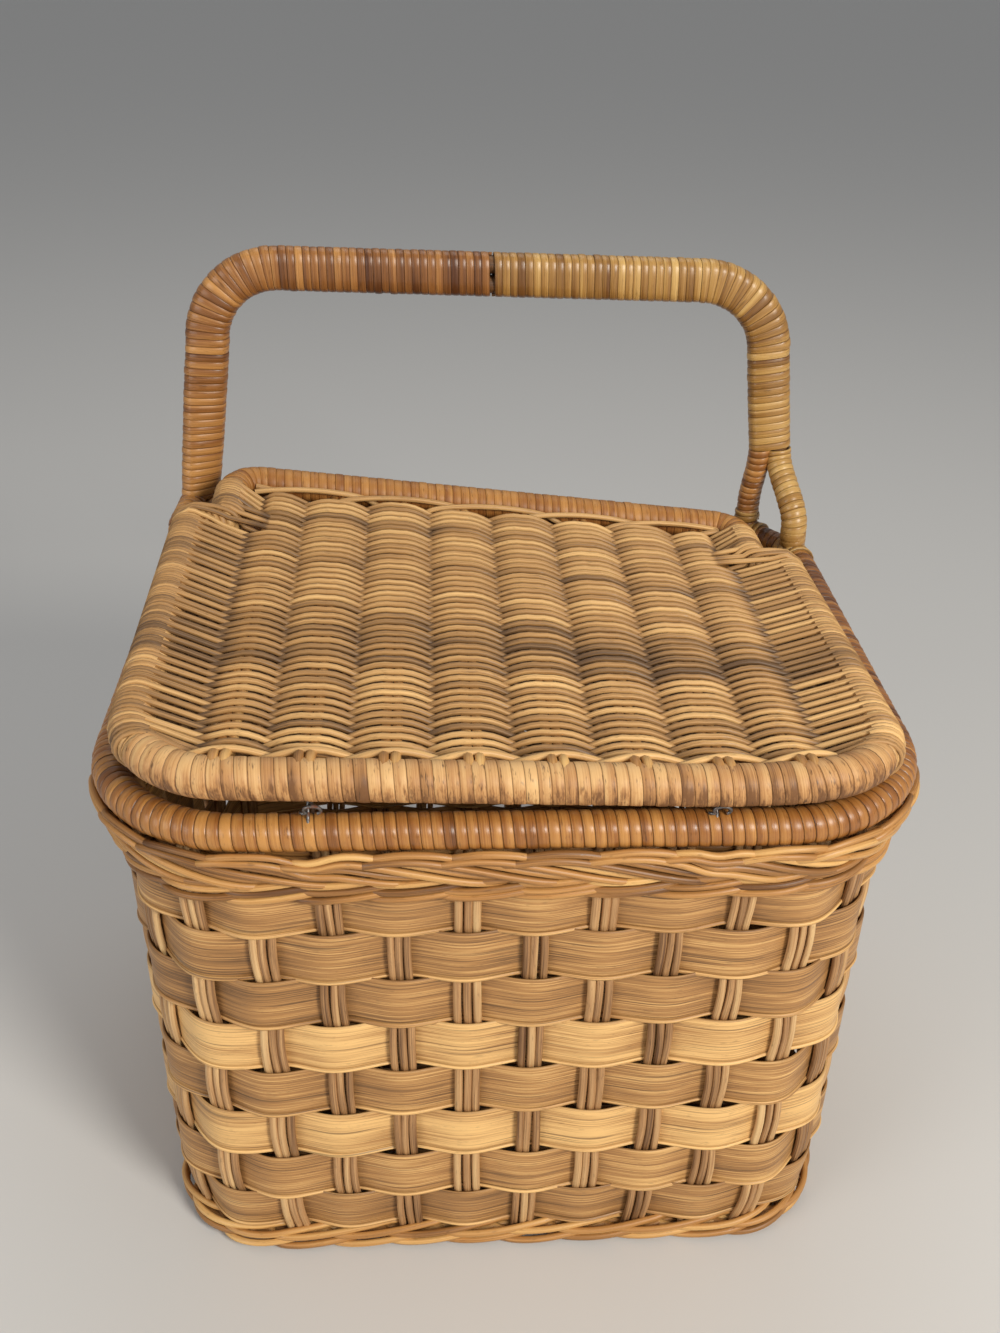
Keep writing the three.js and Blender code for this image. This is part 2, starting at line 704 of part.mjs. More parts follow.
function frontPath() {
  const corner = arcPoints(LID_SIDE - LID_CORNER, LID_FRONT + LID_CORNER, LID_CORNER, -90);
  const half = [...corner, new THREE.Vector3(LID_SIDE, SIDE_START, 0)];
  return [...mirrored(half), ...half];
}

function sidePath() {
  const points = [new THREE.Vector3(LID_SIDE, SIDE_START, 0)];
  for (let i = 0; i <= STEP_STEPS; i++) {
    const share = i / STEP_STEPS;
    const x = LID_NARROW + LID_STEP * (1 + Math.cos(Math.PI * share)) / 2;
    points.push(new THREE.Vector3(x, LID_FRONT + STEP_START + STEP_LENGTH * share, 0));
  }
  points.push(new THREE.Vector3(LID_NARROW, SIDE_END, 0));
  return points;
}

function backPath() {
  const corner = arcPoints(LID_NARROW - BACK_CORNER, LID_BACK - BACK_CORNER, BACK_CORNER, 0);
  const half = [new THREE.Vector3(LID_NARROW, SIDE_END, 0), ...corner];
  return [...half, ...mirrored(half)];
}

function framePath() {
  return [
    ...frontPath(),
    ...sidePath().slice(1, -1),
    ...backPath(),
    ...mirrored(sidePath()).slice(1, -1),
  ];
}

function lidFrame(radius) {
  return sweep(framePath(), roundSection(radius, ROD_SIDES), UP, { closed: true });
}

function frameWrap(path, radius) {
  const outside = solidOf(sweep(path, roundSection(radius, ROD_SIDES), UP));
  return geometryOf(outside.subtract(solidOf(lidFrame(FRAME_RADIUS + SEAT))));
}

function ribBox(rib, clearance) {
  const length = LID_DEPTH + clearance;
  const box = new THREE.BoxGeometry(RIB_WIDTH + clearance, length, RIB_THICK + clearance);
  box.translate((rib - (RIB_COUNT + 1) / 2) * RIB_PITCH, (LID_FRONT + LID_BACK) / 2, -MAT_DROP);
  return box;
}

// Room that the wrapped rails take out of the ribs and the weave
function railRoom(clearance) {
  const front = sweep(frontPath(), roundSection(RAIL_RADIUS + clearance, ROD_SIDES), UP);
  const back = sweep(backPath(), roundSection(BACK_RADIUS + clearance, ROD_SIDES), UP);
  const beside = roundSection(SIDE_RADIUS + clearance, ROD_SIDES);
  return solidOf(front)
    .add(solidOf(back))
    .add(solidOf(sweep(sidePath(), beside, UP)))
    .add(solidOf(sweep(mirrored(sidePath()), beside, UP)));
}

function lidRib(rib) {
  const solid = solidOf(ribBox(rib, 0)).subtract(railRoom(SEAT));
  return geometryOf(withWireSlots(solid, RAIL_RADIUS));
}

// Upper or lower line of the weave: it rises over each rib and dips between two
function weaveLine(side) {
  const crest = side * (RIB_THICK / 2 + SEAT + CANE) - MAT_DROP;
  const dip = side * CANE / 2 - MAT_DROP;
  const points = [];
  for (let rib = 1; rib <= RIB_COUNT; rib++) {
    const x = (rib - (RIB_COUNT + 1) / 2) * RIB_PITCH;
    const half = RIB_WIDTH / 2 + HUMP_MARGIN;
    points.push(new THREE.Vector2(x - half, crest), new THREE.Vector2(x + half, crest));
    if (rib < RIB_COUNT) {
      points.push(new THREE.Vector2(x + RIB_PITCH / 2, dip));
    }
  }
  const edge = side * CANE - MAT_DROP;
  const reach = LID_SIDE + FRAME_RADIUS;
  return [new THREE.Vector2(-reach, edge), ...points, new THREE.Vector2(reach, edge)];
}

// Weave of the lid: a humped mat round the ribs, inside the wrapped rails
function lidWeave() {
  const profile = new THREE.Shape([...weaveLine(-1), ...weaveLine(1).reverse()]);
  const mat = new THREE.ExtrudeGeometry(profile, { depth: LID_DEPTH, bevelEnabled: false });
  mat.rotateX(Math.PI / 2);
  mat.translate(0, LID_BACK, 0);
  const inside = new THREE.Shape(framePath().map((point) => new THREE.Vector2(point.x, point.y)));
  const plan = new THREE.ExtrudeGeometry(inside, { depth: 2 * REACH_PAST, bevelEnabled: false });
  plan.translate(0, 0, -REACH_PAST);
  let solid = solidOf(mat).intersect(solidOf(plan)).subtract(railRoom(MAT_CLEAR));
  for (let rib = 1; rib <= RIB_COUNT; rib++) {
    solid = solid.subtract(solidOf(ribBox(rib, 2 * SEAT)));
  }
  return geometryOf(withWireSlots(solid, RAIL_RADIUS + CANE));
}

// Slots for both hinge wires, round the lid's front rail
function withWireSlots(solid, rodRadius) {
  return solid
    .subtract(wireRoom(-1, rodRadius, LID_FRONT, 0))
    .subtract(wireRoom(1, rodRadius, LID_FRONT, 0));
}

// Closed wire link round the rim and the lid's front rail, drawn round the rim's middle
function hingeWire(x) {
  const low = RIM_RADIUS + RUN_CLEAR + WIRE_RADIUS;
  const high = RAIL_RADIUS + RUN_CLEAR + WIRE_RADIUS;
  const apart = LID_RISE + frontLift(x);
  const slope = Math.asin((high - low) / apart);
  const points = [];
  for (let i = 0; i <= WIRE_STEPS; i++) {
    const angle = -slope + (Math.PI + 2 * slope) * i / WIRE_STEPS;
    points.push(new THREE.Vector3(0, high * Math.cos(angle), apart + high * Math.sin(angle)));
  }
  for (let i = 0; i <= WIRE_STEPS; i++) {
    const angle = Math.PI + slope + (Math.PI - 2 * slope) * i / WIRE_STEPS;
    points.push(new THREE.Vector3(0, low * Math.cos(angle), low * Math.sin(angle)));
  }
  return sweep(points, roundSection(WIRE_RADIUS, WIRE_SIDES), ALONG_X, { closed: true });
}

// Finishes
const finish = (color, roughness, metalness = 0) => ({ color, roughness, metalness });
const STAKE_CANE = finish(0x9a6a3c, 0.6);
const SPLINT_TONES = [0xb98445, 0xc1924f, 0x9c7a52, 0xd3a45c, 0x99764d, 0xd0a159, 0xb58a50, 0xae8048];
const BORDER_CANE = finish(0xc2924e, 0.55);
const RIM_CANE = finish(0xa9662e, 0.4);
const LID_CANE = finish(0xc09352, 0.6);
const RAIL_CANE = finish(0xd2a765, 0.5);
const BARE_ROD = finish(0x8d6236, 0.65);
const GRIP_LEFT = finish(0x9c6230, 0.4);
const GRIP_RIGHT = finish(0xbd8f43, 0.4);
const IRON_WIRE = finish(0x2d2b2a, 0.45, 0.9);

function addPiece(parent, name, geometry, look) {
  const bare = geometry.index ? geometry.toNonIndexed() : geometry;
  bare.computeVertexNormals();
  const mesh = new THREE.Mesh(bare, new THREE.MeshStandardMaterial(look));
  mesh.name = name;
  parent.add(mesh);
  return mesh;
}

function addBody(basket) {
  addPiece(basket, 'base_with_stakes', baseWithStakes(), STAKE_CANE);
  for (let row = 1; row <= ROW_COUNT; row++) {
    const tone = SPLINT_TONES[(row - 1) % SPLINT_TONES.length];
    addPiece(basket, `splint_row_${row}`, splintRow(row), finish(tone, 0.6));
  }
  addPiece(basket, 'foot_wale', footWale(), BORDER_CANE);
  addPiece(basket, 'border', border(), BORDER_CANE);
  addPiece(basket, 'rim_hoop', rimSolid(RIM_RADIUS), RIM_CANE);
}

function addHandle(basket) {
  addPiece(basket, 'handle_front_rod', handleRod('front'), BARE_ROD);
  addPiece(basket, 'handle_back_rod', handleRod('back'), BARE_ROD);
  for (const [label, side, look] of [['left', -1, GRIP_LEFT], ['right', 1, GRIP_RIGHT]]) {
    addPiece(basket, `grip_wrap_${label}`, gripWrap(side), look);
    for (const which of ['front', 'back']) {
      addPiece(basket, `leg_wrap_${which}_${label}`, legWrap(which, side), look);
      addPiece(basket, `foot_lashing_${which}_${label}`, footLashing(which, side), look);
    }
  }
}

function addLid(basket) {
  const lid = new THREE.Group();
  lid.position.z = LID_HEIGHT;
  basket.add(lid);
  addPiece(lid, 'lid_frame', twisted(lidFrame(FRAME_RADIUS)), BARE_ROD);
  addPiece(lid, 'lid_front_wrap', twisted(frameWrap(frontPath(), RAIL_RADIUS)), RAIL_CANE);
  addPiece(lid, 'lid_back_wrap', twisted(frameWrap(backPath(), BACK_RADIUS)), RIM_CANE);
  for (const [label, path] of [['left', mirrored(sidePath())], ['right', sidePath()]]) {
    path[0].y += Math.sign(path[1].y - path[0].y) * SEAT;
    path.at(-1).y -= Math.sign(path.at(-1).y - path.at(-2).y) * SEAT;
    addPiece(lid, `lid_side_wrap_${label}`, twisted(frameWrap(path, SIDE_RADIUS)), LID_CANE);
  }
  for (let rib = 1; rib <= RIB_COUNT; rib++) {
    addPiece(lid, `lid_rib_${rib}`, twisted(lidRib(rib)), STAKE_CANE);
  }
  addPiece(lid, 'lid_weave', twisted(lidWeave()), LID_CANE);
  for (const [label, side] of [['left', -1], ['right', 1]]) {
    const x = side * HINGE_SPACING / 2;
    const wire = addPiece(basket, `hinge_wire_${label}`, hingeWire(x), IRON_WIRE);
    wire.position.set(x, -RIM_HALF_Y, RIM_HEIGHT);
  }
}

const basket = new THREE.Group();
addBody(basket);
addHandle(basket);
addLid(basket);

export default basket;
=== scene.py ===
"""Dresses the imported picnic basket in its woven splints, round canes and wound strips of cane."""

import json
import math

import bpy
import numpy as np
from bpy.props import FloatProperty, FloatVectorProperty, IntProperty, PointerProperty
from mathutils import Matrix, Vector


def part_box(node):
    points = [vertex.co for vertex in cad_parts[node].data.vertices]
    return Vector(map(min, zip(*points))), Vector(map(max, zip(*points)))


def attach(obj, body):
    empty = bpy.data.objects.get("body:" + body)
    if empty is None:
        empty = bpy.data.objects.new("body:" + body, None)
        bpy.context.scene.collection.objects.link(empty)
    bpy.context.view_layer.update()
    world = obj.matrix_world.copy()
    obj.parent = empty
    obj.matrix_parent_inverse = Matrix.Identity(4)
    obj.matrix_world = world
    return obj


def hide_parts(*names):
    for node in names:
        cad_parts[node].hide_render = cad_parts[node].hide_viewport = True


bl_info = {
    "name": "Picnic basket",
    "version": (1, 0, 0),
    "blender": (4, 5, 0),
    "location": "View3D > Sidebar > Basket",
    "description": "Dresses the packed basket in woven splints, canes and wound strips",
    "category": "Object",
}

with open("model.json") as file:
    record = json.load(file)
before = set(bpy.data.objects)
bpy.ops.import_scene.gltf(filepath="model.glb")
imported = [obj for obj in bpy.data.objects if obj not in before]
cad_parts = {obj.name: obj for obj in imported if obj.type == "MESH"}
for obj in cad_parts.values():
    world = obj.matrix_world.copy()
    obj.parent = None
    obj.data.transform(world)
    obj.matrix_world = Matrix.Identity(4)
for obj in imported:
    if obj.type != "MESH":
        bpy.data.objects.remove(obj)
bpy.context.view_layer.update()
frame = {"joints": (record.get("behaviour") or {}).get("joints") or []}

# Woven body, in metres, on the middle surface of its wall at the base
CORE_X = 0.0885
CORE_Y = 0.0745
CORNER = 0.041
OUTLINE = 4 * (CORE_X + CORE_Y) + 2 * math.pi * CORNER
WALL_LEAN = math.tan(math.radians(2.12))
FOOT_TUCK = 0.004
STAKES = 40
STAKE_PHASE = 0.008 / OUTLINE
STAKE_FOOT = 0.0022
STAKE_TOP = 0.1995
STAKE_SWAY = 0.0008
STAKE_BEND = 0.0003
STAKE_SHIFT = 0.00025
ROWS = 8
ROW_PITCH = 0.0223
ROWS_BOTTOM = 0.0105
ROWS_TOP = ROWS_BOTTOM + ROWS * ROW_PITCH
ROW_DRIFT = 0.00025
EDGE_DROP = 0.0005
EDGE_PROUD = 0.0003
FOOT_RISE = ROWS_BOTTOM + ROW_PITCH

# Height, rise, reach outside, reach inside and tone of each cane twined round the foot and under the border
FOOT_WALES = ((0.0039, 0.0042, 0.0056, 0.0026, 0.55), (0.0083, 0.0042, 0.0052, 0.0026, 0.48))
BORDER_WALES = (
    (0.1832, 0.0040, 0.0066, 0.0042, 0.46), (0.1862, 0.0040, 0.0066, 0.0042, 0.42),
    (0.1892, 0.0040, 0.0066, 0.0042, 0.48),
)
STROKE_UNEVEN = 0.0006

# Canes that line the border inside: their heights, their depth behind the wall, their swing and their steps
LINING_HEIGHTS = (0.1905, 0.1935, 0.1965, 0.1995)
LINING_DEPTH = 0.0032
LINING_SWING = 0.0006
LINING_STEPS = 240

# Two strands of each rolled stake: how far apart they lie, up the wall and out from it
STRAND_RISE = 0.0026
STRAND_DEPTH = 0.0004

# Base: its pairs of rods, their pitch and half the step between two, its height and the rise of its rows
BASE_RODS = 9
BASE_PITCH = 0.0262
BASE_PAIR = 0.0011
BASE_HEIGHT = 0.0025
BASE_HUMP = 0.0014

# Margins of the base: inside the wall, before its first row, and from a row's end to its last rod
BASE_REACH = CORNER - FOOT_TUCK - 0.001
BASE_START = 0.002
BASE_ROD_MARGIN = 0.006

# Clearance between two pieces that rest on each other
SEAT = 0.0003

# Rim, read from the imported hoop
RIM_LOW, RIM_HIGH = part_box("rim_hoop")
RIM_HEIGHT = (RIM_LOW.z + RIM_HIGH.z) / 2
RIM_RADIUS = (RIM_HIGH.z - RIM_LOW.z) / 2
RIM_TOP = RIM_HIGH.z
HINGE_Y = frame["joints"][0]["pos_m"][1]
RIM_OFFSET = -HINGE_Y - CORE_Y - CORNER
RIM_HALF_X = CORE_X + CORNER + RIM_OFFSET

# Lid, drawn flat round the middle of its frame and then twisted
LID_FRONT = HINGE_Y
BACK_GAP = 0.0219
LID_BACK = -HINGE_Y - BACK_GAP
LID_DEPTH = LID_BACK - LID_FRONT
RAIL_RADIUS = 0.0072
FRAME_RADIUS = 0.0058
SIDE_RADIUS = 0.0083
BACK_RADIUS = 0.007
RAIL_GAP = 0.0048
LID_HEIGHT = RIM_TOP + RAIL_GAP + RAIL_RADIUS
SIDE_OVERLAP = 0.002
LID_SIDE = RIM_HALF_X - RIM_RADIUS + SIDE_OVERLAP - SIDE_RADIUS
LID_STEP = 0.014
LID_NARROW = LID_SIDE - LID_STEP
LID_CORNER = 0.034
BACK_CORNER = 0.012
WRAP_REACH = 0.004
STEP_BEFORE_BACK = 0.050
STEP_START = LID_DEPTH - STEP_BEFORE_BACK
STEP_LENGTH = 0.009
SIDE_START = LID_FRONT + LID_CORNER + WRAP_REACH
SIDE_END = LID_BACK - BACK_CORNER - WRAP_REACH
LID_ROLL = 0.0038
LID_TILT = 0.0012
LID_RISE = LID_HEIGHT - RIM_HEIGHT
SHOULDER_SHARE = STEP_START / LID_DEPTH
SHOULDER_RISE = math.sqrt((SIDE_RADIUS + RIM_RADIUS + SEAT) ** 2 - (RIM_HALF_X - LID_SIDE) ** 2)
LID_TWIST = LID_TILT + (LID_RISE - SHOULDER_RISE - LID_ROLL * (1 - SHOULDER_SHARE)) / SHOULDER_SHARE
RIBS = 8
RIB_MARGIN = 0.0062
RIB_WIDTH = 0.008
RIB_PITCH = (2 * (LID_NARROW - SIDE_RADIUS - RIB_MARGIN) - RIB_WIDTH) / (RIBS - 1)
RIB_RISE = ((-0.0008, 0.0052), (0.0032, 0.0060), (0.0080, 0.0044), (0.0150, 0.0004))
MAT_DROP = 0.0015

# Lift of the lid's right front corner, and the shares of its half width where it starts and how it grows
CORNER_LIFT = 0.0026
CORNER_LIFT_START = 0.45
CORNER_LIFT_SPAN = 0.35

# Rows near the step of the lid's sides: where they part, how they gather at its ends, and how far past it
STEP_SPLIT = 0.55
WIDE_PULL = 0.55
NARROW_PULL = 0.3
STEP_MARGIN = 0.4

# Distance from a side rail's middle to the middle of a cane that is draped over its winding
DRAPE = 0.0082

# First woven row of the lid behind its front rail, and the last one before its back rail
ROWS_AHEAD = 0.0046
ROWS_BEHIND = 0.0062

# Row ends of the lid: steepest slant of the rail, half the span that it is read over, clearance and shift
MOST_SLANT = 1.2
SLANT_SPAN = 0.0005
HOOK_CLEAR = 0.0001
HOOK_STEPS = 13
TIP_SHIFT = 0.0006

# Angles in degrees, round a side rail, where a row that goes over it and one that goes under it end
OVER_END = -135
UNDER_END = 485

# Dip of the border's canes under a hinge wire: its depth, its width, and the heights over which it grows
HINGE_ROOM = 0.0024
HINGE_ROOM_WIDTH = 0.007
HINGE_ROOM_LOW = 0.1920
HINGE_ROOM_RISE = 0.0060

# Hinge wires: their places, how deep they sink into the windings, how far they cross, and the bent eye
HINGE_X = 0.067
WIRE_SINK = 0.0013
WIRE_ASIDE = 0.0007
WIRE_STEPS = 24
EYE_PLACE = (0.0008, -0.0026, 0.0004)
EYE_SIZE = (0.0028, -0.0006, 0.0019)
EYE_TAIL = ((-0.0032, 0.0004, -0.0014), (-0.0040, 0.0014, -0.0018))

# Degrees of each front corner that the front rail's winding covers before the weave takes over
WOUND_CORNER = 56
WEAVE_START = LID_FRONT + LID_CORNER * (1 - math.cos(math.radians(WOUND_CORNER)))

# Handle of two bent rods, bound together over the top and apart at the feet
HANDLE_Y = -HINGE_Y - 0.016
HANDLE_TOP = RIM_TOP + 0.117
HANDLE_HALF = RIM_HALF_X - 0.0175
HANDLE_BEND = 0.032
HANDLE_LEAN = 0.003
ROD_RADIUS = 0.004
ROD_OFFSET = 0.00415
FORK_HALVES = {"left": HANDLE_HALF + 0.0085, "right": HANDLE_HALF + 0.005}
FORK_RISES = {"left": 0.015, "right": 0.04}
PAIR_TURNS = {"left": math.radians(45), "right": 0.0}
LEG_EASE = 0.4
BOUND_STEPS = 8
FOOT_ANGLES = {"left": {"front": 17.0, "back": 44.0}, "right": {"front": 17.0, "back": 50.0}}
ANKLE = 0.0072
FOOT_SINK = 0.002

# How far each winding stands out from its rod, and each lashing from what it ties
GRIP_BUILD = 0.0014
LEG_BUILD = {"front": 0.0019, "back": 0.0012}
LASH_BUILD = 0.0013
COLLAR_BUILD = 0.0019
SIDE_BUILD = 0.0014

# Pitch of the collars and of the side rails' windings, half the length of a lashing, and overlap of the turns
COLLAR_PITCH = 0.0029
SIDE_PITCH = 0.0023
LASH_HALF = 0.0085
TURN_COVER = 1.04

# Roll of a stake's canes into the border: stakes travelled, depth outside the wall and height
BORDER_ROLL = (
    (0.95, -0.0030, 0.1905), (1.25, 0.0015, 0.1945), (1.50, 0.0070, 0.1987), (1.75, 0.0102, 0.2016),
    (2.05, 0.0108, 0.2030), (2.45, 0.0104, 0.2024), (2.85, 0.0092, 0.1996), (3.30, 0.0082, 0.1962),
    (3.75, 0.0074, 0.1930), (4.15, 0.0060, 0.1904), (4.50, 0.0032, 0.1887), (4.80, -0.0010, 0.1876),
)

# Tone of each splint row from the top, 0 for the darkest cane and 1 for the palest
ROW_TONES = (0.46, 0.41, 0.36, 0.80, 0.43, 0.76, 0.48, 0.46)

# How far each splint row sits above its even place, from the top row down
ROW_SHIFTS = (-0.0026, -0.0019, -0.0006, 0.0, 0.0, 0.0, 0.0, 0.0014)

# First row, last row and change of tone of the darker bands across the lid
LID_BANDS = (
    (0, 3, -0.10), (7, 12, -0.22), (25, 33, -0.42), (34, 41, -0.26), (56, 61, -0.22), (74, 78, -0.18),
)

# Sheen, painted light on the top, painted shade at the seams, and grain of each cane, by its finish, with the
# name of its material
GRIP_GRAIN = dict(
    roughness=(0.30, 0.48), coat=0.2, up=0.16, streaks=0.4, blotches=0.6, flecks=0.45, seams=0.7
)
CANES = {
    "splint": dict(
        name="Splint", roughness=(0.40, 0.60), streaks=0.70, blotches=0.34, flecks=0.30, cracks=0.60,
        seams=0.35,
    ),
    "stake": dict(name="Stake cane", streaks=0.55, blotches=0.5, flecks=0.35),
    "border": dict(name="Border cane", roughness=(0.34, 0.55), streaks=0.35, blotches=0.55, flecks=0.35),
    "rim": dict(
        name="Rim cane", roughness=(0.31, 0.50), coat=0.18, streaks=0.4, blotches=0.6, flecks=0.45, seams=0.9
    ),
    "lid": dict(name="Lid cane", streaks=0.45, blotches=0.38, flecks=0.32),
    "rail": dict(
        name="Rail cane", roughness=(0.44, 0.66), up=0.22, wear=0.5, streaks=0.45, blotches=0.7, flecks=0.9,
        seams=0.85,
    ),
    "back_rail": dict(
        name="Back rail cane", colours="rim", roughness=(0.40, 0.60), up=0.22, streaks=0.4, blotches=0.6,
        flecks=0.4, seams=0.35,
    ),
    "red": dict(name="Red-brown grip cane", **GRIP_GRAIN),
    "gold": dict(name="Golden grip cane", **GRIP_GRAIN),
    "rod": dict(name="Bare rod", streaks=0.5, blotches=0.4, flecks=0.3),
}

# Half the width of the floor, and how far it lies below the basket
FLOOR_HALF = 15.0
FLOOR_DROP = 0.0004


def length(name, default, description):
    """A length that a user may change, in metres."""
    return FloatProperty(
        name=name, description=description, default=default, min=0.0, unit="LENGTH", precision=4
    )


def colour(name, default, description):
    """A colour that a user may change, in linear light."""
    return FloatVectorProperty(
        name=name, description=description, default=default, min=0.0, max=1.0, size=3, subtype="COLOR"
    )


class WallSizes(bpy.types.PropertyGroup):
    """Sizes of the splints and canes of the wall."""

    splint_height: length("Splint height", 0.0209, "Width of a flat splint, from its lower to its upper edge")
    splint_thick: length("Splint thickness", 0.0012, "Thickness of a flat splint")
    splint_out: length("Splint swell", 0.0024, "How far a splint stands out where it passes over a stake")
    splint_in: length("Splint dip", 0.0019, "How far a splint lies in where it passes behind a stake")
    edge_cane: length("Edge cane", 0.0018, "Diameter of the thin cane along a splint's lower edge")
    stake_cane: length("Stake cane", 0.0032, "Diameter of each of the three canes of a stake")
    wale_cane: length("Wale cane", 0.0028, "Diameter of the canes twined round the foot and under the border")
    border_cane: length("Border cane", 0.0027, "Diameter of the canes rolled over into the border")
    base_cane: length("Base cane", 0.0020, "Diameter of the canes woven into the base")


class StripSizes(bpy.types.PropertyGroup):
    """Sizes of the flat canes wound round the rods."""

    rim_pitch: length("Rim pitch", 0.0038, "Distance from one turn to the next round the rim")
    rail_pitch: length("Front rail pitch", 0.0042, "Distance between two turns round the lid's front rail")
    back_pitch: length("Back rail pitch", 0.0038, "Distance between two turns round the lid's back rail")
    grip_pitch: length("Grip pitch", 0.0033, "Distance between two turns round the handle")
    lash_pitch: length("Lashing pitch", 0.0042, "Distance between two turns of a lashing")
    thick: length("Strip thickness", 0.0013, "Thickness of a wound strip in its middle")
    steps: IntProperty(name="Steps", description="Steps of a strip in one turn", default=18, min=8, max=48)


class LidSizes(bpy.types.PropertyGroup):
    """Sizes of the lid's weave."""

    cane: length("Weaving cane", 0.0022, "Diameter of the canes woven across the lid")
    row_pitch: length("Row pitch", 0.00241, "Distance between two woven rows")
    rib_cane: length("Rib cane", 0.0036, "Diameter of each of a rib's two canes")
    hump: length("Hump", 0.0032, "Rise of a row over a rib, and its drop under the next one")
    wire: length("Hinge wire", 0.0011, "Diameter of the iron hinge wire")


class CaneColours(bpy.types.PropertyGroup):
    """Colours of the canes, each from its darkest to its palest tone."""

    splint_deep: colour("Splint, deep", (0.13, 0.062, 0.022), "Dark grain of the splints")
    splint_mid: colour("Splint, middle", (0.40, 0.198, 0.064), "Middle tone of the splints")
    splint_pale: colour("Splint, pale", (0.78, 0.48, 0.185), "Pale tone of the splints")
    stake_deep: colour("Stake, deep", (0.10, 0.042, 0.014), "Dark tone of the stakes")
    stake_mid: colour("Stake, middle", (0.43, 0.23, 0.095), "Middle tone of the stakes")
    stake_pale: colour("Stake, pale", (0.68, 0.45, 0.21), "Pale tone of the stakes")
    border_deep: colour("Border, deep", (0.12, 0.048, 0.013), "Dark tone of the border and the wales")
    border_mid: colour("Border, middle", (0.43, 0.20, 0.055), "Middle tone of the border and the wales")
    border_pale: colour("Border, pale", (0.72, 0.43, 0.15), "Pale tone of the border and the wales")
    # The rim's deep tone also paints the shade in the seams between its turns
    rim_deep: colour("Rim, deep", (0.09, 0.028, 0.006), "Seams of the rim's winding")
    rim_mid: colour("Rim, middle", (0.29, 0.108, 0.022), "Middle tone of the rim's winding")
    rim_pale: colour("Rim, pale", (0.50, 0.235, 0.060), "Pale tone of the rim's winding")
    lid_deep: colour("Lid, deep", (0.13, 0.068, 0.028), "Dark tone of the lid's weave")
    lid_mid: colour("Lid, middle", (0.44, 0.234, 0.081), "Middle tone of the lid's weave")
    lid_pale: colour("Lid, pale", (0.78, 0.485, 0.192), "Pale tone of the lid's weave")
    # The front rail's deep tone lies on its underside as painted shade and in its brown wear patches, its
    # pale tone on its top as painted light
    rail_deep: colour("Rail, deep", (0.17, 0.070, 0.020), "Underside of the front rail's winding")
    rail_mid: colour("Rail, middle", (0.46, 0.225, 0.078), "Middle tone of the front rail's winding")
    rail_pale: colour("Rail, pale", (0.68, 0.41, 0.17), "Worn top of the front rail's winding")
    # The grips' deep tones also paint the shade in the seams between their turns
    red_deep: colour("Left grip, deep", (0.085, 0.026, 0.006), "Seams of the left grip's winding")
    red_mid: colour("Left grip, middle", (0.27, 0.105, 0.025), "Middle tone of the left grip's winding")
    red_pale: colour("Left grip, pale", (0.52, 0.25, 0.07), "Pale tone of the left grip's winding")
    gold_deep: colour("Right grip, deep", (0.15, 0.06, 0.013), "Seams of the right grip's winding")
    gold_mid: colour("Right grip, middle", (0.37, 0.19, 0.047), "Middle tone of the right grip's winding")
    gold_pale: colour("Right grip, pale", (0.62, 0.39, 0.13), "Pale tone of the right grip's winding")
    rod_deep: colour("Rod, deep", (0.05, 0.020, 0.007), "Dark tone of the bare rods")
    rod_mid: colour("Rod, middle", (0.16, 0.070, 0.022), "Middle tone of the bare rods")
    rod_pale: colour("Rod, pale", (0.32, 0.17, 0.06), "Pale tone of the bare rods")
    iron: colour("Iron", (0.150, 0.145, 0.140), "Bare iron of the hinge wires")
    rust: colour("Rust", (0.13, 0.045, 0.018), "Rust on the hinge wires")


class StageSettings(bpy.types.PropertyGroup):
    """Camera, floor and light."""

    camera_place: FloatVectorProperty(
        name="Camera place", description="Where the camera stands", default=(-0.0278, -0.5349, 0.4938),
        size=3, subtype="TRANSLATION", unit="LENGTH",
    )
    camera_yaw: FloatProperty(
        name="Camera yaw", description="Turn of the camera to the right", default=0.0532, subtype="ANGLE"
    )
    camera_pitch: FloatProperty(
        name="Camera pitch", description="Tilt of the camera downwards", default=0.4995, subtype="ANGLE"
    )
    camera_roll: FloatProperty(
        name="Camera roll", description="Turn of the camera round its view", default=-0.0182, subtype="ANGLE"
    )
    camera_lens: FloatProperty(
        name="Camera lens", description="Focal length of the camera in millimetres", default=40.5, min=1.0
    )
    floor: colour("Floor", (0.62, 0.61, 0.59), "Plain pale floor")
    key: FloatProperty(name="Key light", description="Power of the main light in watts", default=24.0)
    fill: FloatProperty(name="Fill light", description="Power of the fill light in watts", default=7.0)
    top: FloatProperty(name="Top light", description="Power of the light overhead in watts", default=3.5)


# Lines on the basket
def outline(share, offset):
    """Places, directions along and directions out on the rounded outline, pushed out by offset."""
    share, offset = np.broadcast_arrays(np.asarray(share, float), np.asarray(offset, float))
    radius = CORNER + offset
    arc = radius * math.pi / 2
    around = 4 * (CORE_X + CORE_Y + arc)
    travel = ((share % 1.0) * around + CORE_X) % around
    sides = (2 * CORE_X, 2 * CORE_Y, 2 * CORE_X, 2 * CORE_Y)
    corners = ((CORE_X, -CORE_Y), (CORE_X, CORE_Y), (-CORE_X, CORE_Y), (-CORE_X, -CORE_Y))
    place = np.zeros(share.shape + (2,))
    along = np.zeros_like(place)
    start = np.zeros(share.shape)
    for quarter, (side, corner) in enumerate(zip(sides, corners)):
        local = travel - start
        here = (local >= 0) & (local < side + arc)
        heading = quarter * math.pi / 2 + np.maximum(local - side, 0) / radius
        ahead = np.stack([np.cos(heading), np.sin(heading)], -1)
        out = np.stack([ahead[..., 1], -ahead[..., 0]], -1)
        spot = np.array(corner) + out * radius[..., None] + ahead * np.minimum(local - side, 0)[..., None]
        place[here] = spot[here]
        along[here] = ahead[here]
        start = start + side + arc
    return place, along, np.stack([along[..., 1], -along[..., 0]], -1)


def wall_offset(z):
    """Offset of the wall's middle surface from its outline at the base."""
    return WALL_LEAN * z - FOOT_TUCK * np.maximum(0, 1 - z / FOOT_RISE)


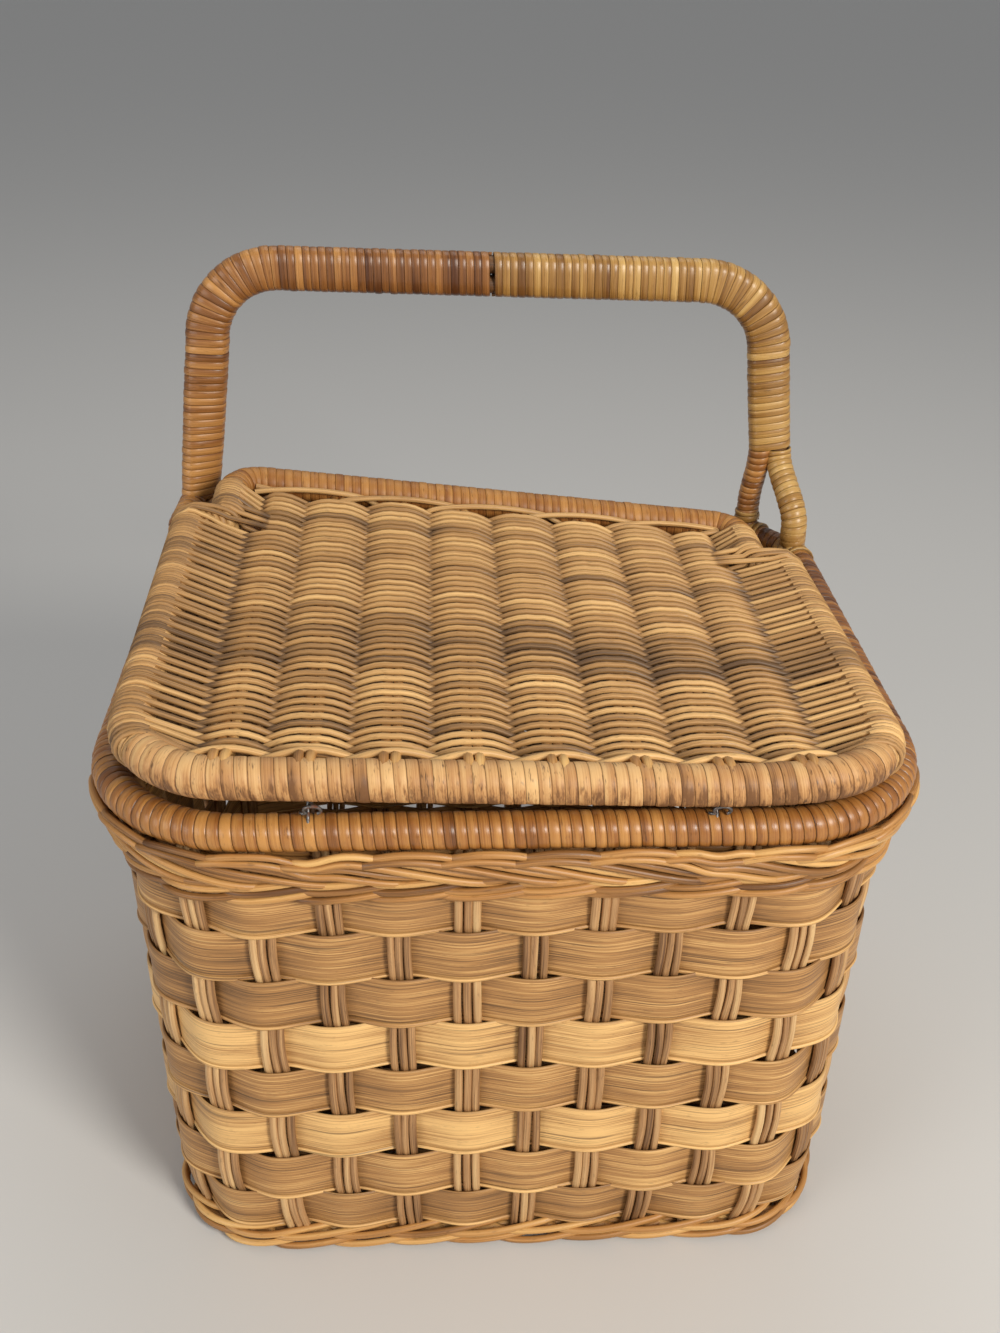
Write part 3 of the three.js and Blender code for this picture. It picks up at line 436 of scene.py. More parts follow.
def wall_points(share, depth, z, shift=0.0):
    """Points beside the wall: depth outwards from its middle surface, shift along it."""
    share, depth, z = np.broadcast_arrays(*(np.asarray(v, float) for v in (share, depth, z)))
    place, along, _ = outline(share, wall_offset(z) + depth)
    return np.concatenate([place + along * shift, z[..., None]], -1)


def smooth(knots, steps):
    """A smooth open line through the knots, with that many steps between two of them."""
    knots = np.asarray(knots, float)
    ends = np.vstack([2 * knots[:1] - knots[1:2], knots, 2 * knots[-1:] - knots[-2:-1]])
    share = np.linspace(0, 1, steps, endpoint=False)[:, None]
    spans = []
    for a, b, c, d in zip(ends, ends[1:], ends[2:], ends[3:]):
        square = share ** 2 * (a - 2.5 * b + 2 * c - 0.5 * d)
        cube = share ** 3 * (1.5 * (b - c) + 0.5 * (d - a))
        spans.append(b + 0.5 * share * (c - a) + square + cube)
    return np.vstack(spans + [knots[-1:]])


def front_lift(x):
    """Rise of the lid's front rail at x: its left end stands highest, and its right corner bends up."""
    lean = x / LID_SIDE
    bend = np.clip((lean - CORNER_LIFT_START) / CORNER_LIFT_SPAN, 0, 1) ** 2
    return CORNER_LIFT * bend - LID_ROLL * lean


def twisted(points):
    """Points of the flat lid, drawn round the middle of its frame, lifted to its place and twisted."""
    points = np.array(points, float)
    share = (points[:, 1] - LID_FRONT) / LID_DEPTH
    front = front_lift(points[:, 0])
    back = LID_TILT - LID_TWIST * points[:, 0] / LID_SIDE
    points[:, 2] += LID_HEIGHT + front + share * (back - front)
    return points


def leaned(points):
    """Points of the handle, with its left end raised and its right end lowered."""
    points = np.array(points, float)
    share = (points[:, 2] - RIM_TOP) / (HANDLE_TOP - RIM_TOP)
    points[:, 2] -= HANDLE_LEAN * share * points[:, 0] / HANDLE_HALF
    return points


def mirrored(points):
    """The same line on the other side, run the other way."""
    return (np.asarray(points) * (-1, 1, 1))[::-1]


def arc_points(centre, radius, start, end, steps):
    """Points of an arc in the lid's plane, from one angle to another in degrees."""
    angle = np.radians(np.linspace(start, end, steps + 1))
    x = centre[0] + radius * np.cos(angle)
    y = centre[1] + radius * np.sin(angle)
    return np.stack([x, y, np.zeros(steps + 1)], -1)


def front_rail_path(turn=90):
    """Middle of the lid's front rail with that many degrees of both its corners, from left to right."""
    centre = (LID_SIDE - LID_CORNER, LID_FRONT + LID_CORNER)
    half = corner = arc_points(centre, LID_CORNER, -90, turn - 90, 14)
    if turn == 90:
        half = np.vstack([corner, [[LID_SIDE, SIDE_START, 0]]])
    middle = np.linspace(-corner[0, 0], corner[0, 0], 40)[1:-1]
    bar = np.stack([middle, np.full(38, LID_FRONT), np.zeros(38)], -1)
    return np.vstack([mirrored(half), bar, half])


def side_rail_path():
    """Middle of the lid's right side rail, from front to back."""
    y = np.linspace(SIDE_START, SIDE_END, 60)
    return np.stack([rail_side(y), y, np.zeros(60)], -1)


def back_rail_path():
    """Middle of the lid's back rail with both its corners, from right to left."""
    corner = arc_points((LID_NARROW - BACK_CORNER, LID_BACK - BACK_CORNER), BACK_CORNER, 0, 90, 10)
    half = np.vstack([[[LID_NARROW, SIDE_END, 0]], corner])
    middle = np.linspace(corner[-1, 0], -corner[-1, 0], 34)[1:-1]
    bar = np.stack([middle, np.full(32, LID_BACK), np.zeros(32)], -1)
    return np.vstack([half, bar, mirrored(half)])


def step_share(y):
    """How far y lies along the step of the lid's side, 0 at its wide end and 1 at its narrow one."""
    return (np.asarray(y, float) - LID_FRONT - STEP_START) / STEP_LENGTH


def rail_side(y):
    """Half the width of the lid's frame at y, on the middle of its side rails."""
    y = np.asarray(y, float)
    ahead = np.clip(LID_FRONT + LID_CORNER - y, 0, LID_CORNER)
    behind = np.clip(y - LID_BACK + BACK_CORNER, 0, BACK_CORNER)
    share = np.clip(step_share(y), 0, 1)
    side = LID_NARROW + LID_STEP * (1 + np.cos(np.pi * share)) / 2
    side = side - LID_CORNER + np.sqrt(LID_CORNER ** 2 - ahead ** 2)
    return side - BACK_CORNER + np.sqrt(BACK_CORNER ** 2 - behind ** 2)


def rail_top(x, y):
    """Height at which a cane lies on a side rail's winding over each point, or a low one beside the rail."""
    course = np.linspace(WEAVE_START, SIDE_END, 200)
    across = rail_side(course) - np.reshape(x, (-1, 1))
    gap = np.hypot(across, course - np.reshape(y, (-1, 1))).min(axis=1)
    return np.where(gap < DRAPE, np.sqrt(np.clip(DRAPE ** 2 - gap ** 2, 0, None)), -DRAPE)


def shoulder(y):
    """Place on a side rail where the row at y is wound: rows at the step gather at one of its ends."""
    along = step_share(y)
    kept = np.where(along < STEP_SPLIT, WIDE_PULL * along, 1 - NARROW_PULL * (1 - along))
    return np.where((along > 0) & (along < 1), LID_FRONT + STEP_START + STEP_LENGTH * kept, y)


def hinge_room(points):
    """Border canes pressed down where a hinge wire swings over them."""
    near = np.exp(-((np.abs(points[:, 0]) - HINGE_X) / HINGE_ROOM_WIDTH) ** 2) * (points[:, 1] < 0)
    high = np.clip((points[:, 2] - HINGE_ROOM_LOW) / HINGE_ROOM_RISE, 0, 1)
    pressed = points.copy()
    pressed[:, 2] -= HINGE_ROOM * near * high
    return pressed


def on_side(points, label):
    """A line drawn on the right, moved to the side that the label names."""
    return np.asarray(points) * (1 if label == "right" else -1, 1, 1)


def grip_path(offset, label):
    """One half of the bound grip, drawn on the right from its middle over the bend to the fork."""
    bend = HANDLE_BEND + offset
    centre = (HANDLE_HALF - HANDLE_BEND, HANDLE_TOP - HANDLE_BEND)
    angle = np.radians(np.linspace(90, 0, 17))
    x = np.concatenate([np.linspace(SEAT, centre[0], 12)[:-1], centre[0] + bend * np.cos(angle)])
    z = np.concatenate([np.full(11, HANDLE_TOP + offset), centre[1] + bend * np.sin(angle)])
    share = np.linspace(0, 1, BOUND_STEPS + 1)[1:]
    turn = share * PAIR_TURNS[label]
    y = np.concatenate([np.full(len(x), HANDLE_Y), HANDLE_Y - offset * np.sin(turn)])
    x = np.concatenate([x, HANDLE_HALF + share * (FORK_HALVES[label] - HANDLE_HALF) + offset * np.cos(turn)])
    z = np.concatenate([z, z[-1] + share * (RIM_TOP + FORK_RISES[label] - z[-1])])
    return np.stack([x, y, z], -1)


def pair_side(label, count):
    """Direction square to the plane of the two rods at each of the grip's points."""
    share = np.clip((np.arange(count) - count + 1) / BOUND_STEPS + 1, 0, 1)
    turn = share * PAIR_TURNS[label]
    return on_side(np.stack([np.sin(turn), np.cos(turn), np.zeros(count)], -1), label)


def foot_place(which, label):
    """Where a side's rod of that kind meets the top of the rim, drawn on the right."""
    angle = math.radians(FOOT_ANGLES[label][which])
    reach = CORNER + RIM_OFFSET
    return np.array([CORE_X + reach * math.cos(angle), CORE_Y + reach * math.sin(angle), RIM_TOP + SEAT])


def leg_path(which, label):
    """A side's leg of that kind, drawn on the right from the fork to the rim."""
    offset = ROD_OFFSET if which == "front" else -ROD_OFFSET
    fork = grip_path(offset, label)[-1]
    foot = foot_place(which, label)
    ankle = foot + (0, 0, ANKLE)
    ease = np.array([0, 0, LEG_EASE * (fork[2] - ankle[2])])
    share = np.linspace(0, 1, 25)[:, None]
    rest = 1 - share
    curve = rest ** 3 * fork + 3 * rest ** 2 * share * (fork - ease)
    curve = curve + 3 * rest * share ** 2 * (ankle + ease) + share ** 3 * ankle
    return np.vstack([curve, [foot - (0, 0, FOOT_SINK)]])


class PathSet:
    """Wire paths for a node tree to dress: each point keeps its tone, its thickness and its facing."""

    def __init__(self, seed):
        self.random = np.random.default_rng(seed)
        self.count = 0
        self.points = []
        self.edges = []
        self.along = []
        self.tone = []
        self.thick = []
        self.facing = []

    def add(self, points, closed=False, tone=0.5, thick=1.0, facing=(0.0, 0.0, 1.0)):
        points = np.asarray(points, float)
        count = len(points)
        chain = np.arange(count)
        edges = np.stack([chain, np.roll(chain, -1)], 1) + self.count
        run = np.concatenate([[0], np.cumsum(np.linalg.norm(np.diff(points, axis=0), axis=1))])
        self.points.append(points)
        self.edges.append(edges if closed else edges[:-1])
        self.along.append(run + self.random.uniform(0, 20))
        self.tone.append(np.broadcast_to(tone, count))
        self.thick.append(np.broadcast_to(thick, count))
        self.facing.append(np.broadcast_to(facing, (count, 3)))
        self.count += count

    def wire(self, name):
        mesh = bpy.data.meshes.new(name)
        mesh.from_pydata(np.vstack(self.points).tolist(), np.vstack(self.edges).tolist(), [])
        layers = (
            ("cane_along", "FLOAT", "value", self.along),
            ("cane_tone", "FLOAT", "value", self.tone),
            ("cane_thick", "FLOAT", "value", self.thick),
            ("cane_facing", "FLOAT_VECTOR", "vector", self.facing),
        )
        for label, kind, key, values in layers:
            layer = mesh.attributes.new(label, kind, "POINT")
            layer.data.foreach_set(key, np.concatenate(values).astype(np.float32).ravel())
        wire = bpy.data.objects.new(name, mesh)
        bpy.context.scene.collection.objects.link(wire)
        return wire


# Node trees
def add(tree, kind, inputs=None, **settings):
    """A new node with its settings, its inputs fed from sockets or set to plain values."""
    node = tree.nodes.new(kind)
    for key, value in settings.items():
        setattr(node, key, value)
    for key, value in (inputs or {}).items():
        if isinstance(value, bpy.types.NodeSocket):
            tree.links.new(value, node.inputs[key])
        else:
            node.inputs[key].default_value = value
    return node


def calc(tree, operation, *values):
    """Output of a Math node on the values."""
    return add(tree, "ShaderNodeMath", dict(enumerate(values)), operation=operation).outputs[0]


def vector(tree, operation, *values):
    """Output of a Vector Math node on the values."""
    return add(tree, "ShaderNodeVectorMath", dict(enumerate(values)), operation=operation).outputs["Vector"]


def scaled(tree, value, share):
    """A vector times a number."""
    return add(tree, "ShaderNodeVectorMath", {0: value, "Scale": share}, operation="SCALE").outputs["Vector"]


def combined(tree, x, y, z):
    """A vector from three values."""
    return add(tree, "ShaderNodeCombineXYZ", {0: x, 1: y, 2: z}).outputs[0]


def captured(tree, geometry, value):
    """The geometry and a vector field kept on its points as they are now."""
    node = add(tree, "GeometryNodeCaptureAttribute")
    node.capture_items.new("VECTOR", "kept")
    tree.links.new(geometry, node.inputs["Geometry"])
    tree.links.new(value, node.inputs["kept"])
    return node.outputs["Geometry"], node.outputs["kept"]


def named(tree, label, kind="FLOAT"):
    """An attribute of the points by name."""
    return add(tree, "GeometryNodeInputNamedAttribute", {"Name": label}, data_type=kind).outputs["Attribute"]


def stored(tree, geometry, label, value, kind="FLOAT"):
    """The geometry with a value stored on its points by name."""
    inputs = {"Geometry": geometry, "Name": label, "Value": value}
    return add(tree, "GeometryNodeStoreNamedAttribute", inputs, data_type=kind, domain="POINT").outputs[0]


def sampled(tree, curve, run, label, kind):
    """Outputs of a curve at a run along it: place, direction and its attribute by name."""
    inputs = {"Curves": curve, "Value": named(tree, label, kind), "Length": run}
    settings = {"mode": "LENGTH", "use_all_curves": True, "data_type": kind}
    return add(tree, "GeometryNodeSampleCurve", inputs, **settings).outputs


def new_tree(name, sockets):
    """A geometry tree with named inputs, and its input sockets by name."""
    tree = bpy.data.node_groups.new(name, "GeometryNodeTree")
    tree.interface.new_socket("Geometry", in_out="INPUT", socket_type="NodeSocketGeometry")
    for label, kind in sockets:
        tree.interface.new_socket(label, in_out="INPUT", socket_type="NodeSocket" + kind)
    tree.interface.new_socket("Geometry", in_out="OUTPUT", socket_type="NodeSocketGeometry")
    given = tree.nodes.new("NodeGroupInput").outputs
    return tree, {socket.name: socket for socket in given if socket.name}


def end_tree(tree, geometry, material):
    """Shades the result smooth, makes it real and gives it its material."""
    geometry = add(tree, "GeometryNodeSetShadeSmooth", {"Geometry": geometry}).outputs[0]
    geometry = add(tree, "GeometryNodeRealizeInstances", {"Geometry": geometry}).outputs[0]
    geometry = add(tree, "GeometryNodeSetMaterial", {"Geometry": geometry, "Material": material}).outputs[0]
    add(tree, "NodeGroupOutput", {"Geometry": geometry})
    return tree


SECTION_SOCKETS = (
    ("Breadth", "Float"), ("Depth", "Float"), ("Squareness", "Float"), ("Sides", "Int"),
    ("Material", "Material"),
)


def cane_section(tree, given):
    """A cane's section, X through it and Y across it, with its points on the unit circle and in metres."""
    circle = add(
        tree, "GeometryNodeCurvePrimitiveCircle", {"Resolution": given["Sides"], "Radius": 1.0}, mode="RADIUS"
    ).outputs[0]
    place = add(tree, "GeometryNodeInputPosition").outputs[0]
    circle, unit = captured(tree, circle, place)
    split = add(tree, "ShaderNodeSeparateXYZ", {0: place}).outputs
    sides = []
    for part, size in ((split[0], given["Depth"]), (split[1], given["Breadth"])):
        power = calc(tree, "POWER", calc(tree, "ABSOLUTE", part), given["Squareness"])
        half = calc(tree, "MULTIPLY", calc(tree, "SIGN", part), calc(tree, "MULTIPLY", size, 0.5))
        sides.append(calc(tree, "MULTIPLY", power, half))
    shape = combined(tree, sides[0], sides[1], 0.0)
    circle = add(tree, "GeometryNodeSetPosition", {"Geometry": circle, "Position": shape}).outputs[0]
    circle, metres = captured(tree, circle, place)
    return circle, unit, metres


def cane_tree(name, flat):
    """Canes along wire paths: round ones, or flat ones that face where their path says."""
    tree, given = new_tree(name, SECTION_SOCKETS)
    path = add(tree, "GeometryNodeMeshToCurve", {"Mesh": given["Geometry"]}).outputs[0]
    if flat:
        facing = named(tree, "cane_facing", "FLOAT_VECTOR")
        inputs = {"Curve": path, "Normal": facing}
        path = add(tree, "GeometryNodeSetCurveNormal", inputs, mode="FREE").outputs[0]
    section, unit, metres = cane_section(tree, given)
    inputs = {"Curve": path, "Profile Curve": section, "Scale": named(tree, "cane_thick"), "Fill Caps": True}
    cane = add(tree, "GeometryNodeCurveToMesh", inputs).outputs[0]
    across = add(tree, "ShaderNodeSeparateXYZ", {0: metres}).outputs
    edge = add(tree, "ShaderNodeSeparateXYZ", {0: unit}).outputs[1]
    space = combined(tree, named(tree, "cane_along"), across[1], across[0])
    cane = stored(tree, cane, "cane_space", space, "FLOAT_VECTOR")
    cane = stored(tree, cane, "cane_edge", calc(tree, "ABSOLUTE", edge))
    return end_tree(tree, cane, given["Material"])


def wound_tree(name):
    """A flat cane wound round a rod, or round two rods side by side, along a wire path."""
    tree, given = new_tree(name, SECTION_SOCKETS + (
        ("Radius", "Float"), ("Spread", "Float"), ("Pitch", "Float"), ("Steps", "Int"), ("Wobble", "Float"),
        ("Variety", "Float"), ("Seed", "Int"),
    ))
    core = add(tree, "GeometryNodeMeshToCurve", {"Mesh": given["Geometry"]}).outputs[0]
    whole = add(tree, "GeometryNodeCurveLength", {"Curve": core}).outputs[0]
    turns = calc(tree, "DIVIDE", whole, given["Pitch"])
    count = calc(tree, "CEIL", calc(tree, "MULTIPLY", turns, given["Steps"]))
    line = add(tree, "GeometryNodeCurvePrimitiveLine", {"End": combined(tree, whole, 0.0, 0.0)}).outputs[0]
    line = add(tree, "GeometryNodeResampleCurve", {"Curve": line, "Count": count}).outputs[0]
    factor = add(tree, "GeometryNodeSplineParameter").outputs["Factor"]
    line, share = captured(tree, line, factor)
    share = add(tree, "ShaderNodeSeparateXYZ", {0: share}).outputs[0]
    section, unit, metres = cane_section(tree, given)
    strip = add(
        tree, "GeometryNodeCurveToMesh", {"Curve": line, "Profile Curve": section, "Fill Caps": True}
    ).outputs[0]

    across = add(tree, "ShaderNodeSeparateXYZ", {0: metres}).outputs
    run = calc(tree, "ADD", calc(tree, "MULTIPLY", share, whole), across[1])
    turn = calc(tree, "ADD", calc(tree, "MULTIPLY", share, turns), given["Seed"])
    angle = calc(tree, "MULTIPLY", turn, 2 * math.pi)
    sample = sampled(tree, core, run, "cane_tone", "FLOAT")
    side = sampled(tree, core, run, "cane_facing", "FLOAT_VECTOR")["Value"]
    normal = vector(tree, "NORMALIZE", vector(tree, "CROSS_PRODUCT", side, sample["Tangent"]))
    upright = vector(tree, "CROSS_PRODUCT", sample["Tangent"], normal)
    cosine = calc(tree, "COSINE", angle)
    away = vector(
        tree, "ADD", scaled(tree, normal, cosine), scaled(tree, upright, calc(tree, "SINE", angle))
    )
    uneven = add(tree, "ShaderNodeTexNoise", {"W": turn, "Scale": 0.83, "Detail": 1.0}, noise_dimensions="1D")
    lift = calc(tree, "MULTIPLY", calc(tree, "SUBTRACT", uneven.outputs["Fac"], 0.5), given["Wobble"])
    reach = calc(tree, "ADD", calc(tree, "ADD", given["Radius"], across[0]), lift)
    flank = add(tree, "ShaderNodeClamp", {0: calc(tree, "MULTIPLY", cosine, 2.5), "Min": -1.0, "Max": 1.0})
    apart = scaled(tree, normal, calc(tree, "MULTIPLY", flank.outputs[0], given["Spread"]))
    place = vector(tree, "ADD", sample["Position"], vector(tree, "ADD", scaled(tree, away, reach), apart))
    strip = add(tree, "GeometryNodeSetPosition", {"Geometry": strip, "Position": place}).outputs[0]

    travel = calc(tree, "MULTIPLY", angle, calc(tree, "ADD", given["Radius"], given["Spread"]))
    strip = stored(tree, strip, "cane_space", combined(tree, travel, across[1], across[0]), "FLOAT_VECTOR")
    edge = add(tree, "ShaderNodeSeparateXYZ", {0: unit}).outputs[1]
    strip = stored(tree, strip, "cane_edge", calc(tree, "ABSOLUTE", edge))
    later = calc(tree, "ADD", turn, 41.7)
    change = add(tree, "ShaderNodeTexNoise", {"W": later, "Scale": 1.1, "Detail": 1.0}, noise_dimensions="1D")
    change = calc(tree, "MULTIPLY", calc(tree, "SUBTRACT", change.outputs["Fac"], 0.5), given["Variety"])
    strip = stored(tree, strip, "cane_tone", calc(tree, "ADD", sample["Value"], change))
    # How far each point of the strip faces up: the materials paint its top paler as painted light and its
    # underside darker as painted shade
    strip = stored(tree, strip, "cane_up", add(tree, "ShaderNodeSeparateXYZ", {0: away}).outputs[2])
    return end_tree(tree, strip, given["Material"])


def tree_of(name):
    """A node tree by its name, built the first time that it is asked for."""
    found = bpy.data.node_groups.get(name)
    if found:
        return found
    if name == "Wound strip":
        return wound_tree(name)
    return cane_tree(name, flat=name == "Flat splint")


def dressed(wire, tree, values):
    """A plain mesh object of what the tree makes of the wire, which is taken away."""
    modifier = wire.modifiers.new(tree.name, "NODES")
    modifier.node_group = tree
    for item in tree.interface.items_tree:
        if item.in_out == "INPUT" and item.name in values:
            modifier[item.identifier] = values[item.name]
    graph = bpy.context.evaluated_depsgraph_get()
    mesh = bpy.data.meshes.new_from_object(
        wire.evaluated_get(graph), preserve_all_data_layers=True, depsgraph=graph
    )
    if not mesh.polygons:
        raise RuntimeError(f"{wire.name}: the tree made no faces")
    name = wire.name
    old = wire.data
    bpy.data.objects.remove(wire)
    bpy.data.meshes.remove(old)
    mesh.name = name
    piece = bpy.data.objects.new(name, mesh)
    bpy.context.scene.collection.objects.link(piece)
    return piece


def round_canes(name, paths, diameter, material, sides=7):
    """Round canes along the paths."""
    values = {
        "Breadth": diameter, "Depth": diameter, "Squareness": 1.0, "Sides": sides, "Material": material,
    }
    return dressed(paths.wire(name), tree_of("Round cane"), values)


def flat_splints(name, paths, breadth, depth, material):
    """Flat splints along the paths, facing as their points say."""
    values = {"Breadth": breadth, "Depth": depth, "Squareness": 0.34, "Sides": 12, "Material": material}
    return dressed(paths.wire(name), tree_of("Flat splint"), values)


def wound_strip(
    name, path, radius, pitch, material, closed=False, tone=0.5, side=(0, 0, 1), depth=None, square=0.8,
    spread=0.0, wobble=0.0005, variety=0.8, seed=0,
):
    """A flat cane wound along one path, whose outside lies at that radius."""
    strips = bpy.context.scene.basket_strips
    depth = depth or strips.thick
    paths = PathSet(1)
    paths.add(path, closed=closed, tone=tone, facing=side)
    values = {
        "Breadth": pitch * TURN_COVER, "Depth": depth, "Squareness": square, "Sides": 10,
        "Material": material, "Radius": radius - depth / 2, "Spread": spread, "Pitch": pitch,
        "Steps": strips.steps, "Wobble": wobble, "Variety": variety, "Seed": seed,
    }
    return dressed(paths.wire(name), tree_of("Wound strip"), values)


def joined(name, pieces):
    """One mesh object of several, each with its own material."""
    with bpy.context.temp_override(active_object=pieces[0], selected_editable_objects=pieces):
        bpy.ops.object.join()
    pieces[0].name = name
    pieces[0].data.name = name
    return pieces[0]


def fitted(piece, body, slot, *nodes):
    """Lets a piece ride on its body and stand for its CAD nodes."""
    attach(piece, body)
    if nodes:
        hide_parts(*nodes)
    return piece


# Materials
def shader_group(name, inputs, outputs):
    """An empty shader group with float or vector inputs and float outputs."""
    group = bpy.data.node_groups.new(name, "ShaderNodeTree")
    for label, kind, value in inputs:
        socket = group.interface.new_socket(label, in_out="INPUT", socket_type="NodeSocket" + kind)
        if value is not None:
            socket.default_value = value
    for label in outputs:
        group.interface.new_socket(label, in_out="OUTPUT", socket_type="NodeSocketFloat")
    return group, group.nodes.new("NodeGroupInput").outputs


def mapped(tree, value, low, high, start=0.0, end=1.0, **settings):
    """A value's range from low to high, spread from start to end and held there."""
    inputs = {0: value, 1: low, 2: high, 3: start, 4: end}
    return add(tree, "ShaderNodeMapRange", inputs, **settings).outputs[0]


def grain_noise(tree, space, stretch, detail, roughness):
    """Noise along a cane, stretched by how often it changes in a metre along, across and through it."""
    place = vector(tree, "MULTIPLY", space, stretch)
    inputs = {"Vector": place, "Scale": 1.0, "Detail": detail, "Roughness": roughness}
    return add(tree, "ShaderNodeTexNoise", inputs).outputs["Fac"]


def cane_grain():
    """Shader group of cane's grain: its shade, its dark flecks and cracks, the painted shade at its seams,
    and its height.
    """
    found = bpy.data.node_groups.get("Cane grain")
    if found:
        return found
    group, given = shader_group(
        "Cane grain",
        (
            ("Space", "Vector", None), ("Tone", "Float", 0.5), ("Edge", "Float", 0.0),
            ("Streaks", "Float", 0.5), ("Blotches", "Float", 0.4), ("Flecks", "Float", 0.3),
            ("Cracks", "Float", 0.0), ("Seams", "Float", 0.0),
        ),
        ("Shade", "Dark", "Height"),
    )
    streak = grain_noise(group, given["Space"], (26.0, 2300.0, 2300.0), 3.0, 0.62)
    blotch = grain_noise(group, given["Space"], (14.0, 160.0, 160.0), 2.0, 0.5)
    speck = grain_noise(group, given["Space"], (190.0, 900.0, 900.0), 2.0, 0.7)
    crack = grain_noise(group, given["Space"], (15.0, 1150.0, 1150.0), 1.0, 0.6)
    fleck = mapped(group, speck, 0.60, 0.74)
    crack = calc(group, "MULTIPLY", mapped(group, crack, 0.63, 0.70), given["Cracks"])
    lines = mapped(group, streak, 0.28, 0.72, -0.5, 0.5)
    clouds = mapped(group, blotch, 0.28, 0.72, -0.5, 0.5)
    shade = calc(group, "ADD", given["Tone"], calc(group, "MULTIPLY", lines, given["Streaks"]))
    shade = calc(group, "ADD", shade, calc(group, "MULTIPLY", clouds, given["Blotches"]))
    # Painted shade: each strip darker at its edges, where two turns or two rows meet
    seam_shade = mapped(group, given["Edge"], 0.72, 1.0, interpolation_type="SMOOTHSTEP")
    seam_shade = calc(group, "MULTIPLY", seam_shade, given["Seams"])
    dark = calc(group, "MAXIMUM", calc(group, "MULTIPLY", fleck, given["Flecks"]), seam_shade)
    dark = calc(group, "MAXIMUM", dark, crack)
    height = calc(group, "SUBTRACT", streak, calc(group, "MULTIPLY", fleck, 0.4))
    height = calc(group, "SUBTRACT", height, crack)
    add(group, "NodeGroupOutput", {"Shade": shade, "Dark": dark, "Height": height})
    return group


def worn_patches(tree, space, lit):
    """Mask of the brown wear that gathers on the lower half of a wound rail."""
    patch = grain_noise(tree, space, (120.0, 420.0, 420.0), 3.0, 0.7)
    return calc(tree, "MULTIPLY", mapped(tree, patch, 0.46, 0.64), mapped(tree, lit, 0.80, 0.10))


def new_material(name):
    """A material with nodes, its tree and its shader."""
    material = bpy.data.materials.new(name)
    material.use_nodes = True
    return material, material.node_tree, material.node_tree.nodes["Principled BSDF"]


def cane_material(name, tones, roughness=(0.42, 0.62), coat=0.0, up=0.0, bump=0.25, wear=0.0, **grain):
    """Cane in three tones, from deep to pale, with its grain and flecks, painted light on its top and painted
    shade beneath, and brown wear patches where asked.
    """
    material, tree, shader = new_material(name)
    space = add(tree, "ShaderNodeAttribute", attribute_name="cane_space").outputs["Vector"]
    tone = add(tree, "ShaderNodeAttribute", attribute_name="cane_tone").outputs["Fac"]
    edge = add(tree, "ShaderNodeAttribute", attribute_name="cane_edge").outputs["Fac"]
    # Painted light and shade: a wound strip paler where it faces up and darker where it faces down
    if up:
        lit = add(tree, "ShaderNodeAttribute", attribute_name="cane_up").outputs["Fac"]
        tone = calc(tree, "ADD", tone, calc(tree, "MULTIPLY", lit, up))
        if wear:
            worn = calc(tree, "MULTIPLY", worn_patches(tree, space, lit), wear)
            tone = calc(tree, "SUBTRACT", tone, worn)
    node = add(tree, "ShaderNodeGroup", node_tree=cane_grain())
    for socket, value in (("Space", space), ("Tone", tone), ("Edge", edge)):
        tree.links.new(value, node.inputs[socket])
    for key, value in grain.items():
        node.inputs[key.capitalize()].default_value = value
    ramp = add(tree, "ShaderNodeValToRGB", {0: node.outputs["Shade"]})
    ramp.color_ramp.elements[0].position = 0.04
    ramp.color_ramp.elements[1].position = 0.96
    ramp.color_ramp.elements.new(0.5)
    for element, tint in zip(ramp.color_ramp.elements, tones):
        element.color = (*tint, 1.0)
    # Darkest colour, for the flecks and cracks and for the painted shade at the seams
    deep = tuple(0.45 * part for part in tones[0])
    mix = add(
        tree, "ShaderNodeMix", {"Factor": node.outputs["Dark"], 6: ramp.outputs[0], 7: (*deep, 1.0)},
        data_type="RGBA",
    )
    tree.links.new(mix.outputs[2], shader.inputs["Base Color"])
    rough = mapped(tree, node.outputs["Height"], 0.25, 0.75, *roughness)
    tree.links.new(rough, shader.inputs["Roughness"])
    relief = add(
        tree, "ShaderNodeBump", {"Strength": bump, "Distance": 0.0004, "Height": node.outputs["Height"]}
    )
    tree.links.new(relief.outputs[0], shader.inputs["Normal"])
    shader.inputs["Coat Weight"].default_value = coat
    shader.inputs["Coat Roughness"].default_value = 0.28
    shader.inputs["IOR"].default_value = 1.48
    return material


def tones_of(finish):
    """Deep, middle and pale colour of a finish, from the panel."""
    colours = bpy.context.scene.basket_colours
    return [tuple(getattr(colours, f"{finish}_{tone}")) for tone in ("deep", "mid", "pale")]


def cane(finish):
    """The cane of a finish, made the first time that it is asked for."""
    look = dict(CANES[finish])
    colours = look.pop("colours", finish)
    return bpy.data.materials.get(look["name"]) or cane_material(tones=tones_of(colours), **look)


